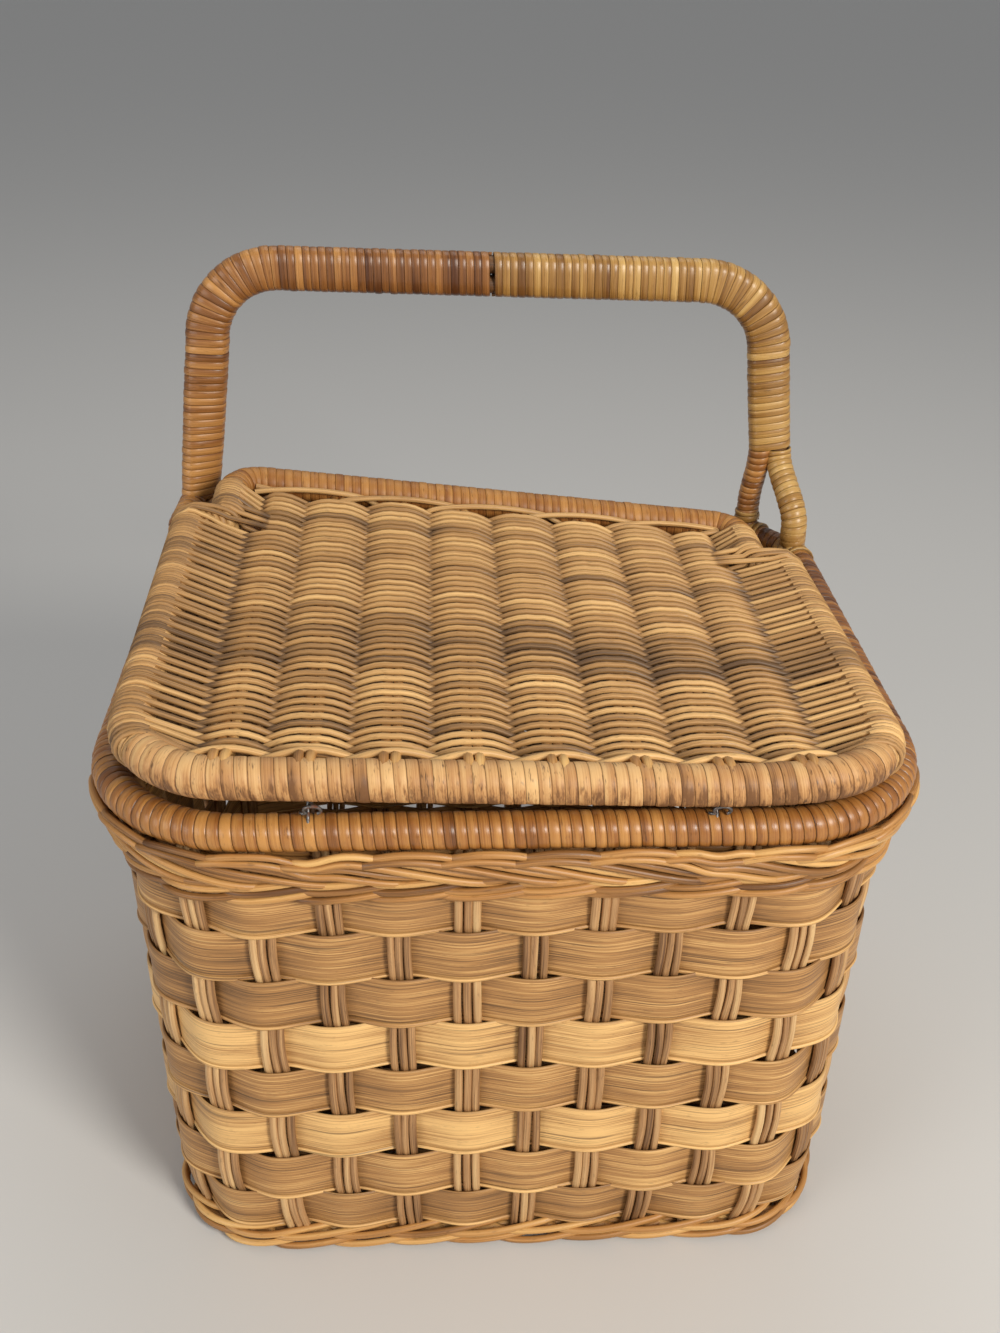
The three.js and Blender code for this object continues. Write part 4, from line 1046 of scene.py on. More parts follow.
def iron_material():
    """Dull iron wire with patches of rust."""
    found = bpy.data.materials.get("Iron wire")
    if found:
        return found
    colours = bpy.context.scene.basket_colours
    material, tree, shader = new_material("Iron wire")
    place = add(tree, "ShaderNodeTexCoord").outputs["Object"]
    noise = add(tree, "ShaderNodeTexNoise", {"Vector": place, "Scale": 700.0, "Detail": 4.0}).outputs["Fac"]
    patch = mapped(tree, noise, 0.50, 0.66)
    inputs = {"Factor": patch, 6: (*colours.iron, 1.0), 7: (*colours.rust, 1.0)}
    mix = add(tree, "ShaderNodeMix", inputs, data_type="RGBA")
    tree.links.new(mix.outputs[2], shader.inputs["Base Color"])
    bare = calc(tree, "SUBTRACT", 0.9, calc(tree, "MULTIPLY", patch, 0.8))
    tree.links.new(bare, shader.inputs["Metallic"])
    tree.links.new(mapped(tree, patch, 0.0, 1.0, 0.42, 0.85), shader.inputs["Roughness"])
    relief = add(tree, "ShaderNodeBump", {"Strength": 0.4, "Distance": 0.0002, "Height": noise}).outputs[0]
    tree.links.new(relief, shader.inputs["Normal"])
    return material


# Paths of the woven body
def row_wave(stake, row):
    """+1 where a splint row passes outside a stake, -1 inside, with a soft crease at each stake."""
    ramp = 2 * np.abs((np.asarray(stake, float) + row + 1) % 2 - 1) - 1
    bend = 1.35 * ramp
    return 1.06 * bend / (1 + np.abs(bend) ** 5) ** (1 / 5)


def row_middle(row):
    """Height of the middle of a splint row, counted from the top."""
    return ROWS_TOP - (row - 0.5) * ROW_PITCH + ROW_SHIFTS[row - 1]


def twine(stake):
    """Stroke, swell, dip and climb of a cane that passes outside two stakes and inside the third."""
    stroke = stake % 3
    fall = np.clip(stroke - 2, 0, 1)
    swell = np.sin(np.pi * np.minimum(stroke, 2) / 2) ** 0.6
    dip = np.sin(np.pi * fall)
    climb = np.minimum(stroke, 2) / 2 - 0.5 - fall * fall * (3 - 2 * fall)
    return stroke, swell, dip, climb


def wale_path(height, rise, outside, inside, random):
    """One cane twined three times round the body, rising as it goes out, with uneven strokes."""
    stake = np.arange(3 * STAKES * 8) / 8
    stroke, swell, dip, climb = twine(stake)
    whole = np.arange(STAKES + 1)
    uneven = random.uniform(-1, 1, (2, STAKES))
    uneven = np.array([np.interp(stake / 3, whole, np.append(line, line[0])) for line in uneven])
    lean = np.where(stroke < 2, 1.25 - 0.42 * stroke, 0)
    share = STAKE_PHASE + (stake - 0.5) / STAKES
    depth = (outside + STROKE_UNEVEN * uneven[0]) * swell * lean - inside * dip
    return share, depth, height + rise * climb + STROKE_UNEVEN * uneven[1]


def woven_row(stations, humps):
    """A line along X that swings by the humps at its stations."""
    fine = np.linspace(0, len(stations) - 1, 8 * (len(stations) - 1) + 1)
    below = np.minimum(fine.astype(int), len(stations) - 2)
    share = fine - below
    ease = (1 - np.cos(np.pi * share)) / 2 - 0.08 * np.sin(2 * np.pi * share)
    x = np.interp(fine, np.arange(len(stations)), stations)
    return x, humps[below] * (1 - ease) + humps[below + 1] * ease


class BASKET_OT_wall(bpy.types.Operator):
    """Stakes of three canes each and the splint rows woven through them"""

    bl_idname = "basket.wall"
    bl_label = "Wall"

    def execute(self, context):
        sizes = context.scene.basket_wall
        self.stakes(sizes)
        edges = PathSet(12)
        for row in range(1, ROWS + 1):
            self.splint(sizes, row, edges)
        piece = round_canes("splint_edges", edges, sizes.edge_cane, cane("splint"), sides=6)
        fitted(piece, "basket", "splint")
        return {"FINISHED"}

    def stakes(self, sizes):
        paths = PathSet(11)
        z = np.linspace(STAKE_FOOT, STAKE_TOP, 44)
        row = (ROWS_TOP - z) / ROW_PITCH + 0.5
        for stake in range(STAKES):
            group = paths.random.uniform(0.36, 0.70)
            sway = -STAKE_SWAY * np.cos(np.pi * (stake + row + 1))
            for place in (-1, 0, 1):
                shift = place * sizes.stake_cane * 0.98 + paths.random.uniform(-STAKE_SHIFT, STAKE_SHIFT)
                bend = STAKE_BEND * np.sin(z * 70 + paths.random.uniform(0, 6))
                tone = np.clip(group + paths.random.uniform(-0.17, 0.17), 0.08, 0.95)
                thick = paths.random.uniform(0.9, 1.04)
                points = wall_points(STAKE_PHASE + stake / STAKES, sway, z, shift + bend[:, None])
                paths.add(points, tone=tone, thick=thick)
        piece = round_canes("stakes", paths, sizes.stake_cane, cane("stake"))
        fitted(piece, "basket", "stake_cane", "base_with_stakes")

    def splint(self, sizes, row, edges):
        """One splint round the body, a closed ring that starts behind a stake at the back."""
        paths = PathSet(20 + row)
        stake = np.arange(STAKES * 16) / 16 + STAKES // 2 + (row + 1) % 2 + 1
        share = STAKE_PHASE + stake / STAKES
        middle = (sizes.splint_out - sizes.splint_in) / 2
        wave = row_wave(stake, row)
        depth = middle + (sizes.splint_out + sizes.splint_in) / 2 * wave
        phase = paths.random.uniform(0, 6.28, 3)
        turn = 2 * np.pi * share
        drift = ROW_DRIFT * (np.sin(turn * 3 + phase[0]) + np.sin(turn * 7 + phase[1]))
        z = row_middle(row) + drift
        points = wall_points(share, depth, z)
        _, _, out = outline(share, wall_offset(z) + depth)
        span = 0.008
        slope = (wall_offset(z + span) - wall_offset(z - span)) / (2 * span)
        facing = np.concatenate([out, -slope[:, None]], -1)
        facing = facing / np.linalg.norm(facing, axis=1, keepdims=True)
        # Slow change round the ring, plus painted light and shade: paler where the splint swells out over a
        # stake, darker where it dips behind one
        tone = ROW_TONES[row - 1] + 0.06 * np.sin(turn * 2 + phase[2]) + 0.08 * wave
        paths.add(points, closed=True, tone=tone, facing=facing)
        piece = flat_splints(
            f"woven_splint_{row}", paths, sizes.splint_height, sizes.splint_thick, cane("splint")
        )
        fitted(piece, "basket", "splint", f"splint_row_{row}")
        low = z - sizes.splint_height / 2 - EDGE_DROP
        pale = np.clip(tone + 0.2, 0, 0.92)
        edges.add(wall_points(share, depth + EDGE_PROUD, low), closed=True, tone=pale)


class BASKET_OT_wales(bpy.types.Operator):
    """Canes twined round the foot of the wall, and the border rolled over above it"""

    bl_idname = "basket.wales"
    bl_label = "Foot wale and border"

    def execute(self, context):
        sizes = context.scene.basket_wall
        self.foot(sizes)
        self.border(sizes)
        return {"FINISHED"}

    def wale(self, paths, height, rise, outside, inside, base_tone):
        share, depth, z = wale_path(height, rise, outside, inside, paths.random)
        strokes = paths.random.uniform(-0.26, 0.26, STAKES).repeat(len(share) // STAKES)
        paths.add(wall_points(share, depth, z), closed=True, tone=np.clip(base_tone + strokes, 0.05, 0.95))

    def foot(self, sizes):
        paths = PathSet(31)
        for wale in FOOT_WALES:
            self.wale(paths, *wale)
        piece = round_canes("foot_wale_canes", paths, sizes.wale_cane, cane("border"))
        fitted(piece, "basket", "border_cane", "foot_wale")

    def border(self, sizes):
        paths = PathSet(32)
        for wale in BORDER_WALES:
            self.wale(paths, *wale)
        self.rolled_stakes(paths)
        lining = np.linspace(0, 1, LINING_STEPS, endpoint=False)
        for height in LINING_HEIGHTS:
            swing = np.cos(2 * np.pi * lining * STAKES + height * 4000)
            inside = -LINING_DEPTH + LINING_SWING * swing
            paths.add(wall_points(lining, inside, height), closed=True, tone=0.45, thick=1.05)
        piece = round_canes("border_canes", paths, sizes.border_cane, cane("border"))
        fitted(piece, "basket", "border_cane", "border")

    def rolled_stakes(self, paths):
        """Each stake's canes pass behind the next stake, come out and run down to the right."""
        line = smooth(BORDER_ROLL, 5)
        for stake in range(STAKES):
            group = paths.random.uniform(0.35, 0.62)
            slip, sag = paths.random.uniform((-0.10, -0.0005), (0.10, 0.0005))
            for strand in (-0.5, 0.5):
                share = STAKE_PHASE + (stake + slip + line[:, 0] + 0.14 * strand) / STAKES
                apart = strand * STRAND_RISE * np.clip((line[:, 0] - 1.2) / 0.5, 0.2, 1)
                depth = line[:, 1] - STRAND_DEPTH * strand
                tone = np.clip(group + paths.random.uniform(-0.22, 0.22), 0.1, 0.95)
                thick = paths.random.uniform(0.92, 1.08)
                points = hinge_room(wall_points(share, depth, line[:, 2] + sag + apart))
                paths.add(points, tone=tone, thick=thick)


class BASKET_OT_base(bpy.types.Operator):
    """Woven base inside the foot of the wall"""

    bl_idname = "basket.base"
    bl_label = "Base"

    def execute(self, context):
        sizes = context.scene.basket_wall
        paths = PathSet(41)
        last = CORE_Y + BASE_REACH - BASE_START
        pitch = 1.06 * sizes.base_cane
        stations = (np.arange(BASE_RODS) - BASE_RODS // 2) * BASE_PITCH
        for row, y in enumerate(np.arange(-last, last, pitch)):
            half = self.half(y, CORE_Y, CORE_X)
            within = stations[np.abs(stations) < half - BASE_ROD_MARGIN]
            side = np.where((np.round(within / BASE_PITCH).astype(int) + row) % 2, 1.0, -1.0)
            x, z = woven_row(within, BASE_HUMP * side)
            x = np.concatenate([[-half], x, [half]])
            z = np.concatenate([[0.0], z, [0.0]])
            points = np.stack([x, np.full(len(x), y), BASE_HEIGHT + z], -1)
            paths.add(points, tone=0.5 + 0.18 * math.sin(row * 0.37) + paths.random.uniform(-0.12, 0.12))
        for x in stations:
            half = self.half(x, CORE_X, CORE_Y)
            y = np.linspace(-half, half, 24)
            for place in (-BASE_PAIR, BASE_PAIR):
                points = np.stack([np.full(24, x + place), y, np.full(24, BASE_HEIGHT)], -1)
                paths.add(points, tone=0.35, thick=1.05)
        piece = round_canes("woven_base", paths, sizes.base_cane, cane("lid"), sides=6)
        fitted(piece, "basket", "stake_cane")
        return {"FINISHED"}

    def half(self, place, core, other):
        """Half the length of a cane across the base at a place, from the halves of its straight sides."""
        return other + math.sqrt(max(BASE_REACH ** 2 - max(abs(place) - core, 0) ** 2, 0))


class BASKET_OT_rim(bpy.types.Operator):
    """Rim hoop with its wound cane"""

    bl_idname = "basket.rim"
    bl_label = "Rim"

    def execute(self, context):
        strips = context.scene.basket_strips
        share = 0.5 + np.linspace(0, 1, 320, endpoint=False)
        place, _, _ = outline(share, RIM_OFFSET)
        path = np.concatenate([place, np.full((len(share), 1), RIM_HEIGHT)], -1)
        core = PathSet(51)
        core.add(path, closed=True, tone=0.3)
        hoop = round_canes("rim_core", core, 2 * (RIM_RADIUS - 0.8 * strips.thick), cane("rod"), sides=12)
        tone = 0.52 + 0.16 * np.cos(2 * np.pi * share + 0.6) + 0.08 * np.sin(2 * np.pi * share * 9)
        strip = wound_strip(
            "rim_strip", path, RIM_RADIUS, strips.rim_pitch, cane("rim"), closed=True, tone=tone,
            square=0.68,
        )
        fitted(joined("rim_winding", [strip, hoop]), "basket", "rim_cane", "rim_hoop")
        return {"FINISHED"}


class BASKET_OT_handle(bpy.types.Operator):
    """Two bent rods, the cane wound round them, and the lashings that hold their feet"""

    bl_idname = "basket.handle"
    bl_label = "Handle"

    def execute(self, context):
        strips = context.scene.basket_strips
        for which, offset in (("front", ROD_OFFSET), ("back", -ROD_OFFSET)):
            left, right = (
                on_side(np.vstack([grip_path(offset, label), leg_path(which, label)[1:]]), label)
                for label in ("left", "right")
            )
            rods = PathSet(61)
            rods.add(leaned(np.vstack([left[::-1], right[1:]])), tone=0.35)
            piece = round_canes(f"handle_rod_{which}", rods, 2 * ROD_RADIUS, cane("rod"), sides=10)
            fitted(piece, "basket", "bare_rod", f"handle_{which}_rod")
        for label, finish in (("left", "red"), ("right", "gold")):
            self.grip(strips, label, finish)
            for which in ("front", "back"):
                self.leg(strips, label, which)
                self.lashing(strips, label, which)
        return {"FINISHED"}

    def grip(self, strips, label, finish):
        path = leaned(on_side(grip_path(0.0, label), label))
        seed = len(label)
        along = np.linspace(0, 1, len(path))
        tone = 0.44 + 0.10 * np.sin(9 * along + seed) + (0.34 if label == "left" else 0.06) * along ** 2
        piece = wound_strip(
            f"grip_winding_{label}", path, ROD_RADIUS + GRIP_BUILD, strips.grip_pitch, cane(finish),
            tone=tone, side=pair_side(label, len(path)), spread=ROD_OFFSET, seed=seed, depth=0.0012,
            square=0.62, wobble=0.0006,
        )
        fitted(piece, "basket", f"grip_cane_{label}", f"grip_wrap_{label}")

    def leg(self, strips, label, which):
        path = leaned(on_side(leg_path(which, label), label))
        finish = "gold" if (label, which) == ("right", "front") else "red"
        radius = ROD_RADIUS + LEG_BUILD[which]
        piece = wound_strip(
            f"leg_winding_{which}_{label}", path, radius, strips.grip_pitch * 0.94, cane(finish), tone=0.6,
            side=(0, 1, 0), depth=0.0013, square=0.7,
        )
        fitted(piece, "basket", f"grip_cane_{label}", f"leg_wrap_{which}_{label}")

    def lashing(self, strips, label, which):
        angle = math.radians(FOOT_ANGLES[label][which])
        reach = CORNER + RIM_OFFSET
        turn = angle + np.linspace(-LASH_HALF, LASH_HALF, 16) / reach
        path = np.stack(
            [CORE_X + reach * np.cos(turn), CORE_Y + reach * np.sin(turn), np.full(16, RIM_HEIGHT)], -1
        )
        collar = foot_place(which, label) + np.linspace(0.0008, ANKLE - 0.001, 6)[:, None] * (0, 0, 1)
        finish = cane("gold" if label == "right" else "red")
        binding = wound_strip(
            "binding", on_side(path, label), RIM_RADIUS + LASH_BUILD, strips.lash_pitch, finish, tone=0.45,
            square=0.9, seed=1,
        )
        band = wound_strip(
            "collar", on_side(collar, label), ROD_RADIUS + COLLAR_BUILD, COLLAR_PITCH, finish, tone=0.5,
            side=(0, 1, 0), square=0.9, seed=2,
        )
        piece = joined(f"lashing_{which}_{label}", [binding, band])
        fitted(piece, "basket", f"grip_cane_{label}", f"foot_lashing_{which}_{label}")


class BASKET_OT_lid(bpy.types.Operator):
    """Lid: its frame, ribs and woven rows, the twined edges and the windings round its rails"""

    bl_idname = "basket.lid"
    bl_label = "Lid"

    def execute(self, context):
        sizes = context.scene.basket_lid
        strips = context.scene.basket_strips
        self.frame_rod()
        self.ribs(sizes)
        self.weave(sizes)
        self.side_rails(sizes)
        self.rails(strips)
        return {"FINISHED"}

    def frame_rod(self):
        side = side_rail_path()
        loop = np.vstack([front_rail_path(), side[1:-1], back_rail_path(), mirrored(side)[1:-1]])
        paths = PathSet(71)
        paths.add(twisted(loop), closed=True, tone=0.4)
        piece = round_canes("lid_frame_rod", paths, 2 * FRAME_RADIUS, cane("rod"), sides=10)
        fitted(piece, "lid", "bare_rod", "lid_frame")

    def ribs(self, sizes):
        paths = PathSet(72)
        level = (LID_FRONT + 0.026, 0.0, LID_BACK - 0.022, LID_BACK - 0.004)
        for rib in range(RIBS):
            middle = (rib - (RIBS - 1) / 2) * RIB_PITCH
            tone = paths.random.uniform(0.45, 0.7)
            for place in (-0.5, 0.5):
                x = middle + place * sizes.rib_cane * 1.04
                knots = [(x, LID_FRONT + y, z) for y, z in RIB_RISE]
                knots += [(x, y, -MAT_DROP) for y in level]
                paths.add(twisted(smooth(knots, 4)), tone=np.clip(tone + place * 0.2, 0, 1))
        piece = round_canes("lid_ribs", paths, sizes.rib_cane, cane("border"))
        fitted(piece, "lid", "lid_cane", *(f"lid_rib_{rib}" for rib in range(1, RIBS + 1)))

    def weave(self, sizes):
        paths = PathSet(73)
        stations = (np.arange(RIBS) - (RIBS - 1) / 2) * RIB_PITCH
        first = LID_FRONT + RAIL_RADIUS + ROWS_AHEAD
        count = int((LID_BACK - BACK_RADIUS - ROWS_BEHIND - first) / sizes.row_pitch) + 1
        band = np.zeros(count)
        for start, end, change in LID_BANDS:
            band[start:end + 1] += change
        for row in range(count):
            y = first + row * sizes.row_pitch
            side = np.where((np.arange(RIBS) + row) % 2, 1.0, -1.0)
            points, depth = self.row(sizes, stations, side, y, paths.random)
            x = points[:, 0]
            patchy = 0.72 + 0.28 * np.sin(x * 24 + row * 0.21)
            tone = 0.63 + paths.random.uniform(-0.15, 0.15) + band[row] * patchy
            # A slow change along the row, plus painted shade where the row lies deep under a rib or round the
            # side rail
            tone = tone + 0.08 * np.sin(x * 31 + row * 0.9) - 0.50 * depth ** 1.3
            # Painted shade: the lid's left end darker, away from the light
            tone = tone - 0.14 * np.clip((-x - 0.075) / 0.04, 0, 1)
            paths.add(twisted(points), tone=np.clip(tone, 0.02, 0.98), thick=1.02 - 0.05 * depth)
        self.twined_front(paths)
        self.twined_back(paths)
        piece = round_canes("lid_weave_canes", paths, sizes.cane, cane("lid"))
        fitted(piece, "lid", "lid_cane", "lid_weave")

    def side_rails(self, sizes):
        """Canes wound close round both side rails under the ends of the rows."""
        y = np.linspace(WEAVE_START, SIDE_END, 90)
        path = np.stack([rail_side(y), y, np.zeros(90)], -1)
        for label in ("left", "right"):
            piece = wound_strip(
                f"side_rail_winding_{label}", twisted(on_side(path, label)), FRAME_RADIUS + SIDE_BUILD,
                SIDE_PITCH, cane("lid"), tone=0.58, depth=sizes.cane, square=1.0, variety=0.7, wobble=0.0003,
            )
            fitted(piece, "lid", "lid_cane", f"lid_side_wrap_{label}")

    def row(self, sizes, stations, side, y, random):
        """One woven row over and under the lid's ribs and round both rails, and how deep it lies, which sets
        its painted shade.
        """
        x, z = woven_row(stations, sizes.hump * side)
        depth = np.clip(0.5 - z / (2 * sizes.hump), 0, 1)
        middle = np.stack([x, np.full(len(x), y), z - MAT_DROP], -1)
        left, left_depth = self.end(sizes, mirrored(middle)[-1], side[0])
        right, right_depth = self.end(sizes, middle[-1], side[-1])
        for tip in (left, right):
            tip[:, 1] += random.uniform(-TIP_SHIFT, TIP_SHIFT) * np.clip(np.arange(len(tip)) / 4, 0, 1)
        points = np.vstack([mirrored(left), middle, right])
        sway = 0.00018 * np.sin(points[:, 0] * 60 + random.uniform(0, 6))
        points[:, 1] += sway + random.uniform(-0.00012, 0.00012)
        return points, np.concatenate([left_depth[::-1], depth, right_depth])

    def end(self, sizes, start, side):
        """Right end of a row: from under its last rib over the side rail, or from over it round below, with
        the painted shade along it.
        """
        x, y, z = start
        place = max(y, WEAVE_START)
        rail = float(rail_side(shoulder(place)))
        stepped = -STEP_MARGIN < step_share(place) < 1 + STEP_MARGIN
        if stepped:
            side = -1.0
        if y < SIDE_END + 0.001:
            beside = rail_side(shoulder([place - SLANT_SPAN, place + SLANT_SPAN]))
            slant = np.clip(np.diff(beside)[0] / (2 * SLANT_SPAN), -MOST_SLANT, MOST_SLANT)
            reach = FRAME_RADIUS + sizes.cane / 2 + HOOK_CLEAR
            touch = math.atan2(z, x - rail) % (2 * math.pi)
            touch += side * math.acos(reach / math.hypot(x - rail, z))
            angle = np.linspace(touch, math.radians(UNDER_END if side > 0 else OVER_END), HOOK_STEPS)
            hook_x = rail + reach * math.hypot(1, slant) * np.cos(angle)
            hook_x = np.clip(hook_x, LID_NARROW - reach, LID_SIDE + reach)
            hook_z = reach * np.sin(angle)
            # Painted shade on the part of the hook that lies under the side rail
            hook_shade = np.zeros(HOOK_STEPS)
            if side > 0:
                hook_shade = np.interp(np.degrees(angle), (330, 400), (1.2, 0))
        else:
            limit = rail - 0.9 * BACK_RADIUS
            hook_x = np.array([limit - 0.003, limit + 0.002])
            hook_z = np.array([0.0006, -0.0012])
            hook_shade = np.zeros(2)
        share = np.linspace(0.07, 0.93, 12) if stepped else np.array([0.07, 0.16, 0.30, 0.50, 0.75])
        taut = share * (1 - 0.5 * np.exp(-share / 0.06))
        # Painted shade as the row sinks from the top of its last rib, or rises from under it
        deep = np.interp(share, (0.12, 0.35), (0, 1.3)) if side > 0 else np.interp(share, (0, 0.35), (1.1, 0))
        line_x = np.concatenate([x + share * (hook_x[0] - x), hook_x])
        line_y = y + (place - y) * np.concatenate([share, np.ones(len(hook_x))])
        line_z = np.concatenate([z + taut * (hook_z[0] - z), hook_z])
        if stepped:
            top = np.argmax(line_z) + 1
            line_z[:top] = np.maximum(line_z[:top], rail_top(line_x[:top], line_y[:top]))
        return np.stack([line_x, line_y, line_z], -1), np.concatenate([deep, hook_shade])

    def twined_front(self, paths):
        """Pair of pale canes twined round the ribs along the front rail."""
        middle, swing, rise = 0.0026, 0.0013, 0.0030
        y = LID_FRONT + RAIL_RADIUS + 0.0014
        reach = float(rail_side(y)) - 0.010
        x = np.linspace(-reach, reach, 120)
        for phase in (-0.5, 0.5):
            turn = np.pi * (x / RIB_PITCH + phase)
            points = np.stack([x, y + swing * np.sin(turn), middle + rise * np.cos(turn)], -1)
            paths.add(twisted(points), tone=0.80, thick=1.16)

    def twined_back(self, paths):
        """Canes along the back rail, each slanting over two ribs and passing under the third."""
        middle, swing, rise, drop = 0.0006, 0.0056, 0.0036, 0.0042
        y = LID_BACK - BACK_RADIUS - 0.0030
        reach = float(rail_side(y)) - 0.009
        x = np.linspace(-reach, reach, 160)
        for shift in (0.5, 2.0):
            _, swell, dip, climb = twine(x / RIB_PITCH + RIBS + shift)
            z = middle + rise * swell - drop * dip - MAT_DROP
            points = np.stack([x, y + swing * climb, z], -1)
            paths.add(twisted(points), tone=0.62, thick=1.14)

    def rails(self, strips):
        path = front_rail_path(WOUND_CORNER)
        tone = 0.56 + 0.10 * np.sin(np.linspace(0, 14, len(path))) - 0.12 * np.clip(path[:, 0] / 0.09, 0, 1)
        piece = wound_strip(
            "front_rail_winding", twisted(path), RAIL_RADIUS, strips.rail_pitch, cane("rail"), tone=tone,
            square=0.52, depth=0.0012, variety=1.1,
        )
        fitted(piece, "lid", "rail_cane", "lid_front_wrap")
        path = back_rail_path()
        piece = wound_strip(
            "back_rail_winding", twisted(path), BACK_RADIUS, strips.back_pitch, cane("back_rail"),
            tone=0.56, square=0.55, depth=0.0010, variety=0.5,
        )
        fitted(piece, "lid", "rim_cane", "lid_back_wrap")


class BASKET_OT_hinges(bpy.types.Operator):
    """Iron wire links, crossed between the rim and the lid's front rail, each with a bent eye"""

    bl_idname = "basket.hinges"
    bl_label = "Hinge wires"

    def execute(self, context):
        wire = context.scene.basket_lid.wire
        low = RIM_RADIUS - WIRE_SINK
        high = RAIL_RADIUS - WIRE_SINK
        across = np.linspace(-WIRE_ASIDE, WIRE_ASIDE, WIRE_STEPS)
        for label, x in (("left", -HINGE_X), ("right", HINGE_X)):
            apart = LID_RISE + front_lift(x)
            cross = math.acos((low + high) / apart)
            upper = np.linspace(cross - math.pi / 2, 1.5 * math.pi - cross, WIRE_STEPS)
            lower = np.linspace(math.pi / 2 - cross, cross - 1.5 * math.pi, WIRE_STEPS)
            y = np.concatenate([high * np.cos(upper), low * np.cos(lower)])
            z = np.concatenate([apart + high * np.sin(upper), low * np.sin(lower)])
            paths = PathSet(81)
            link = np.stack([x + np.concatenate([across, -across]), LID_FRONT + y, RIM_HEIGHT + z], -1)
            paths.add(link, closed=True)
            gap = apart - RIM_RADIUS - RAIL_RADIUS
            middle = np.array([x, LID_FRONT, RIM_TOP + gap / 2]) + EYE_PLACE
            turn = np.linspace(-0.3 * math.pi, 1.25 * math.pi, 30)
            eye = np.stack([np.cos(turn), np.sin(turn), np.sin(turn)], -1) * EYE_SIZE
            paths.add(middle + smooth(np.vstack([eye, EYE_TAIL]), 2), thick=1.1)
            piece = round_canes(f"hinge_link_{label}", paths, wire, iron_material(), sides=8)
            fitted(piece, "lid", "iron_wire", f"hinge_wire_{label}")
        return {"FINISHED"}


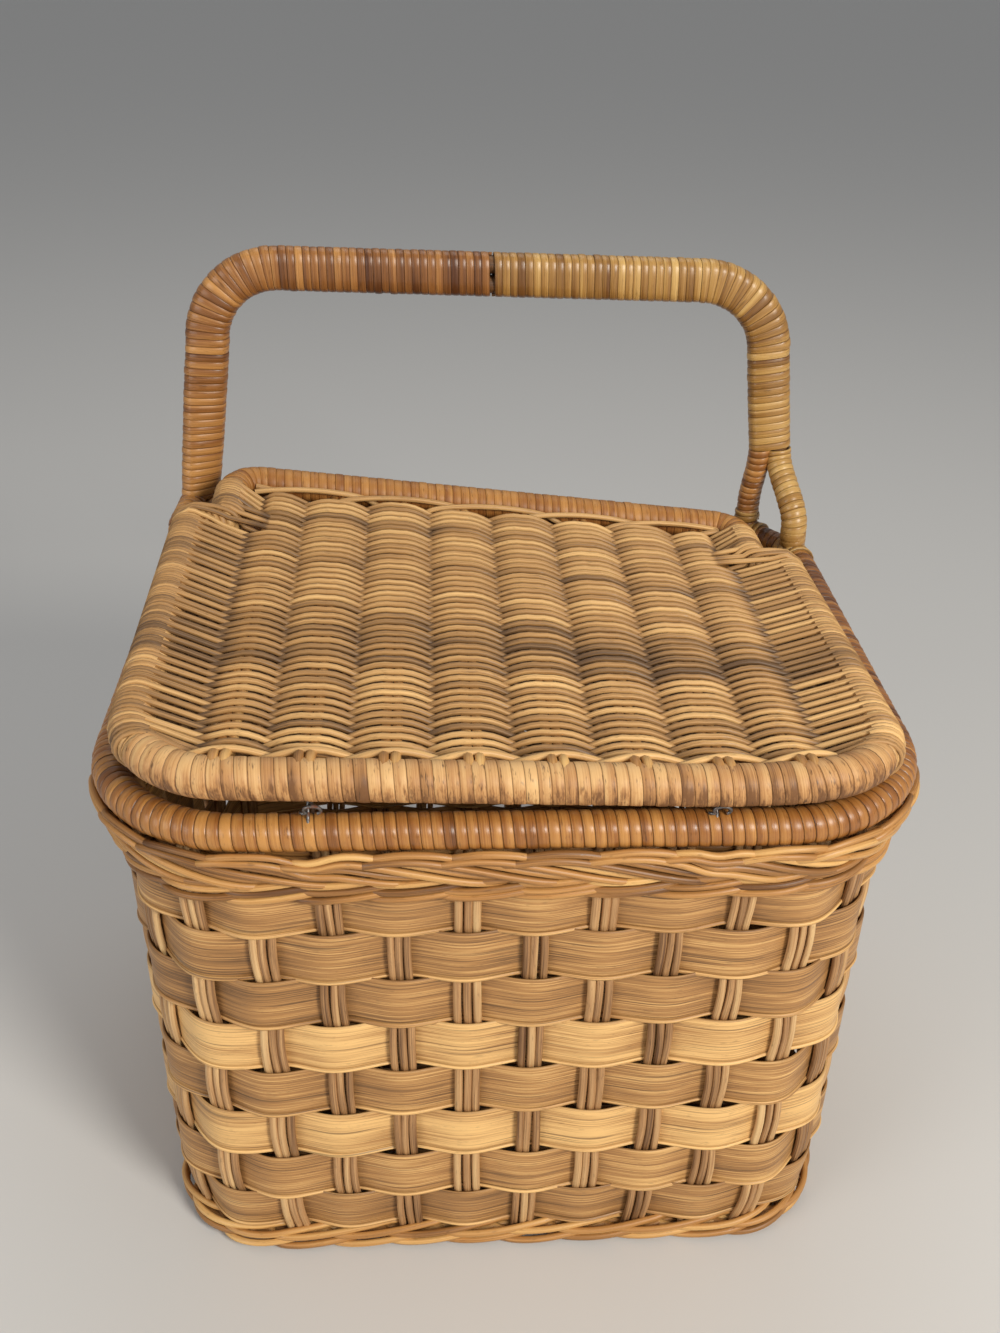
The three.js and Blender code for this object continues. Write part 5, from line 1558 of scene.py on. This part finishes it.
class BASKET_OT_stage(bpy.types.Operator):
    """Pale floor, soft lights and the camera"""

    bl_idname = "basket.stage"
    bl_label = "Stage"

    def execute(self, context):
        stage = context.scene.basket_stage
        self.floor(context.scene, stage)
        self.lights(context.scene, stage)
        self.camera(context.scene, stage)
        return {"FINISHED"}

    def floor(self, scene, stage):
        mesh = bpy.data.meshes.new("floor")
        signs = ((-1, -1), (1, -1), (1, 1), (-1, 1))
        corners = [(x * FLOOR_HALF, y * FLOOR_HALF, -FLOOR_DROP) for x, y in signs]
        mesh.from_pydata(corners, [], [(0, 1, 2, 3)])
        floor = bpy.data.objects.new("floor", mesh)
        scene.collection.objects.link(floor)
        material, _, shader = new_material("Floor")
        shader.inputs["Base Color"].default_value = (*stage.floor, 1.0)
        shader.inputs["Roughness"].default_value = 0.85
        mesh.materials.append(material)

    def lights(self, scene, stage):
        target = Vector((0.0, 0.0, 0.15))
        lights = (
            ("key", (0.80, -1.20, 0.95), 0.55, stage.key, (1.0, 0.955, 0.88)),
            ("fill", (-1.15, -0.95, 0.60), 0.9, stage.fill, (1.0, 0.98, 0.95)),
            ("top", (0.05, 0.55, 1.5), 0.9, stage.top, (1.0, 0.98, 0.95)),
        )
        for name, place, size, power, tint in lights:
            data = bpy.data.lights.new(name, "AREA")
            data.shape = "DISK"
            data.size = size
            data.energy = power
            data.color = tint
            light = bpy.data.objects.new(name, data)
            light.location = place
            light.rotation_euler = (target - Vector(place)).to_track_quat("-Z", "Y").to_euler()
            scene.collection.objects.link(light)
        world = bpy.data.worlds.new("studio")
        world.use_nodes = True
        sky = world.node_tree.nodes["Background"]
        sky.inputs["Color"].default_value = (0.95, 0.97, 1.0, 1.0)
        sky.inputs["Strength"].default_value = 0.32
        scene.world = world
        scene.view_settings.view_transform = "Standard"

    def camera(self, scene, stage):
        yaw, pitch, roll = stage.camera_yaw, stage.camera_pitch, stage.camera_roll
        ahead = Vector((math.sin(yaw) * math.cos(pitch), math.cos(yaw) * math.cos(pitch), -math.sin(pitch)))
        right = Vector((math.cos(yaw), -math.sin(yaw), 0.0))
        down = ahead.cross(right)
        across = math.cos(roll) * right + math.sin(roll) * down
        below = -math.sin(roll) * right + math.cos(roll) * down
        data = bpy.data.cameras.new("camera")
        data.lens = stage.camera_lens
        data.sensor_width = 36.0
        data.clip_start = 0.01
        camera = bpy.data.objects.new("camera", data)
        turn = Matrix((across, -below, -ahead)).transposed().to_4x4()
        camera.matrix_world = Matrix.Translation(Vector(stage.camera_place)) @ turn
        scene.collection.objects.link(camera)
        scene.camera = camera


class BASKET_PT_panel(bpy.types.Panel):
    """Sizes, colours and pieces of the basket"""

    bl_idname = "BASKET_PT_panel"
    bl_label = "Picnic basket"
    bl_space_type = "VIEW_3D"
    bl_region_type = "UI"
    bl_category = "Basket"

    def draw(self, context):
        for operator in OPERATORS:
            self.layout.operator(operator.bl_idname)
        for name in GROUPS:
            group = getattr(context.scene, name)
            box = self.layout.box()
            for key in group.__annotations__:
                box.prop(group, key)


OPERATORS = (
    BASKET_OT_wall, BASKET_OT_wales, BASKET_OT_base, BASKET_OT_rim, BASKET_OT_handle, BASKET_OT_lid,
    BASKET_OT_hinges, BASKET_OT_stage,
)
GROUPS = {
    "basket_wall": WallSizes, "basket_strips": StripSizes, "basket_lid": LidSizes,
    "basket_colours": CaneColours, "basket_stage": StageSettings,
}
CLASSES = (*GROUPS.values(), *OPERATORS, BASKET_PT_panel)


def register():
    for item in CLASSES:
        bpy.utils.register_class(item)
    for name, group in GROUPS.items():
        setattr(bpy.types.Scene, name, PointerProperty(type=group))


def unregister():
    for name in GROUPS:
        delattr(bpy.types.Scene, name)
    for item in reversed(CLASSES):
        bpy.utils.unregister_class(item)


def main():
    register()
    bpy.ops.basket.wall()
    bpy.ops.basket.wales()
    bpy.ops.basket.base()
    bpy.ops.basket.rim()
    bpy.ops.basket.handle()
    bpy.ops.basket.lid()
    bpy.ops.basket.hinges()
    bpy.ops.basket.stage()


if __name__ == "__main__":
    main()
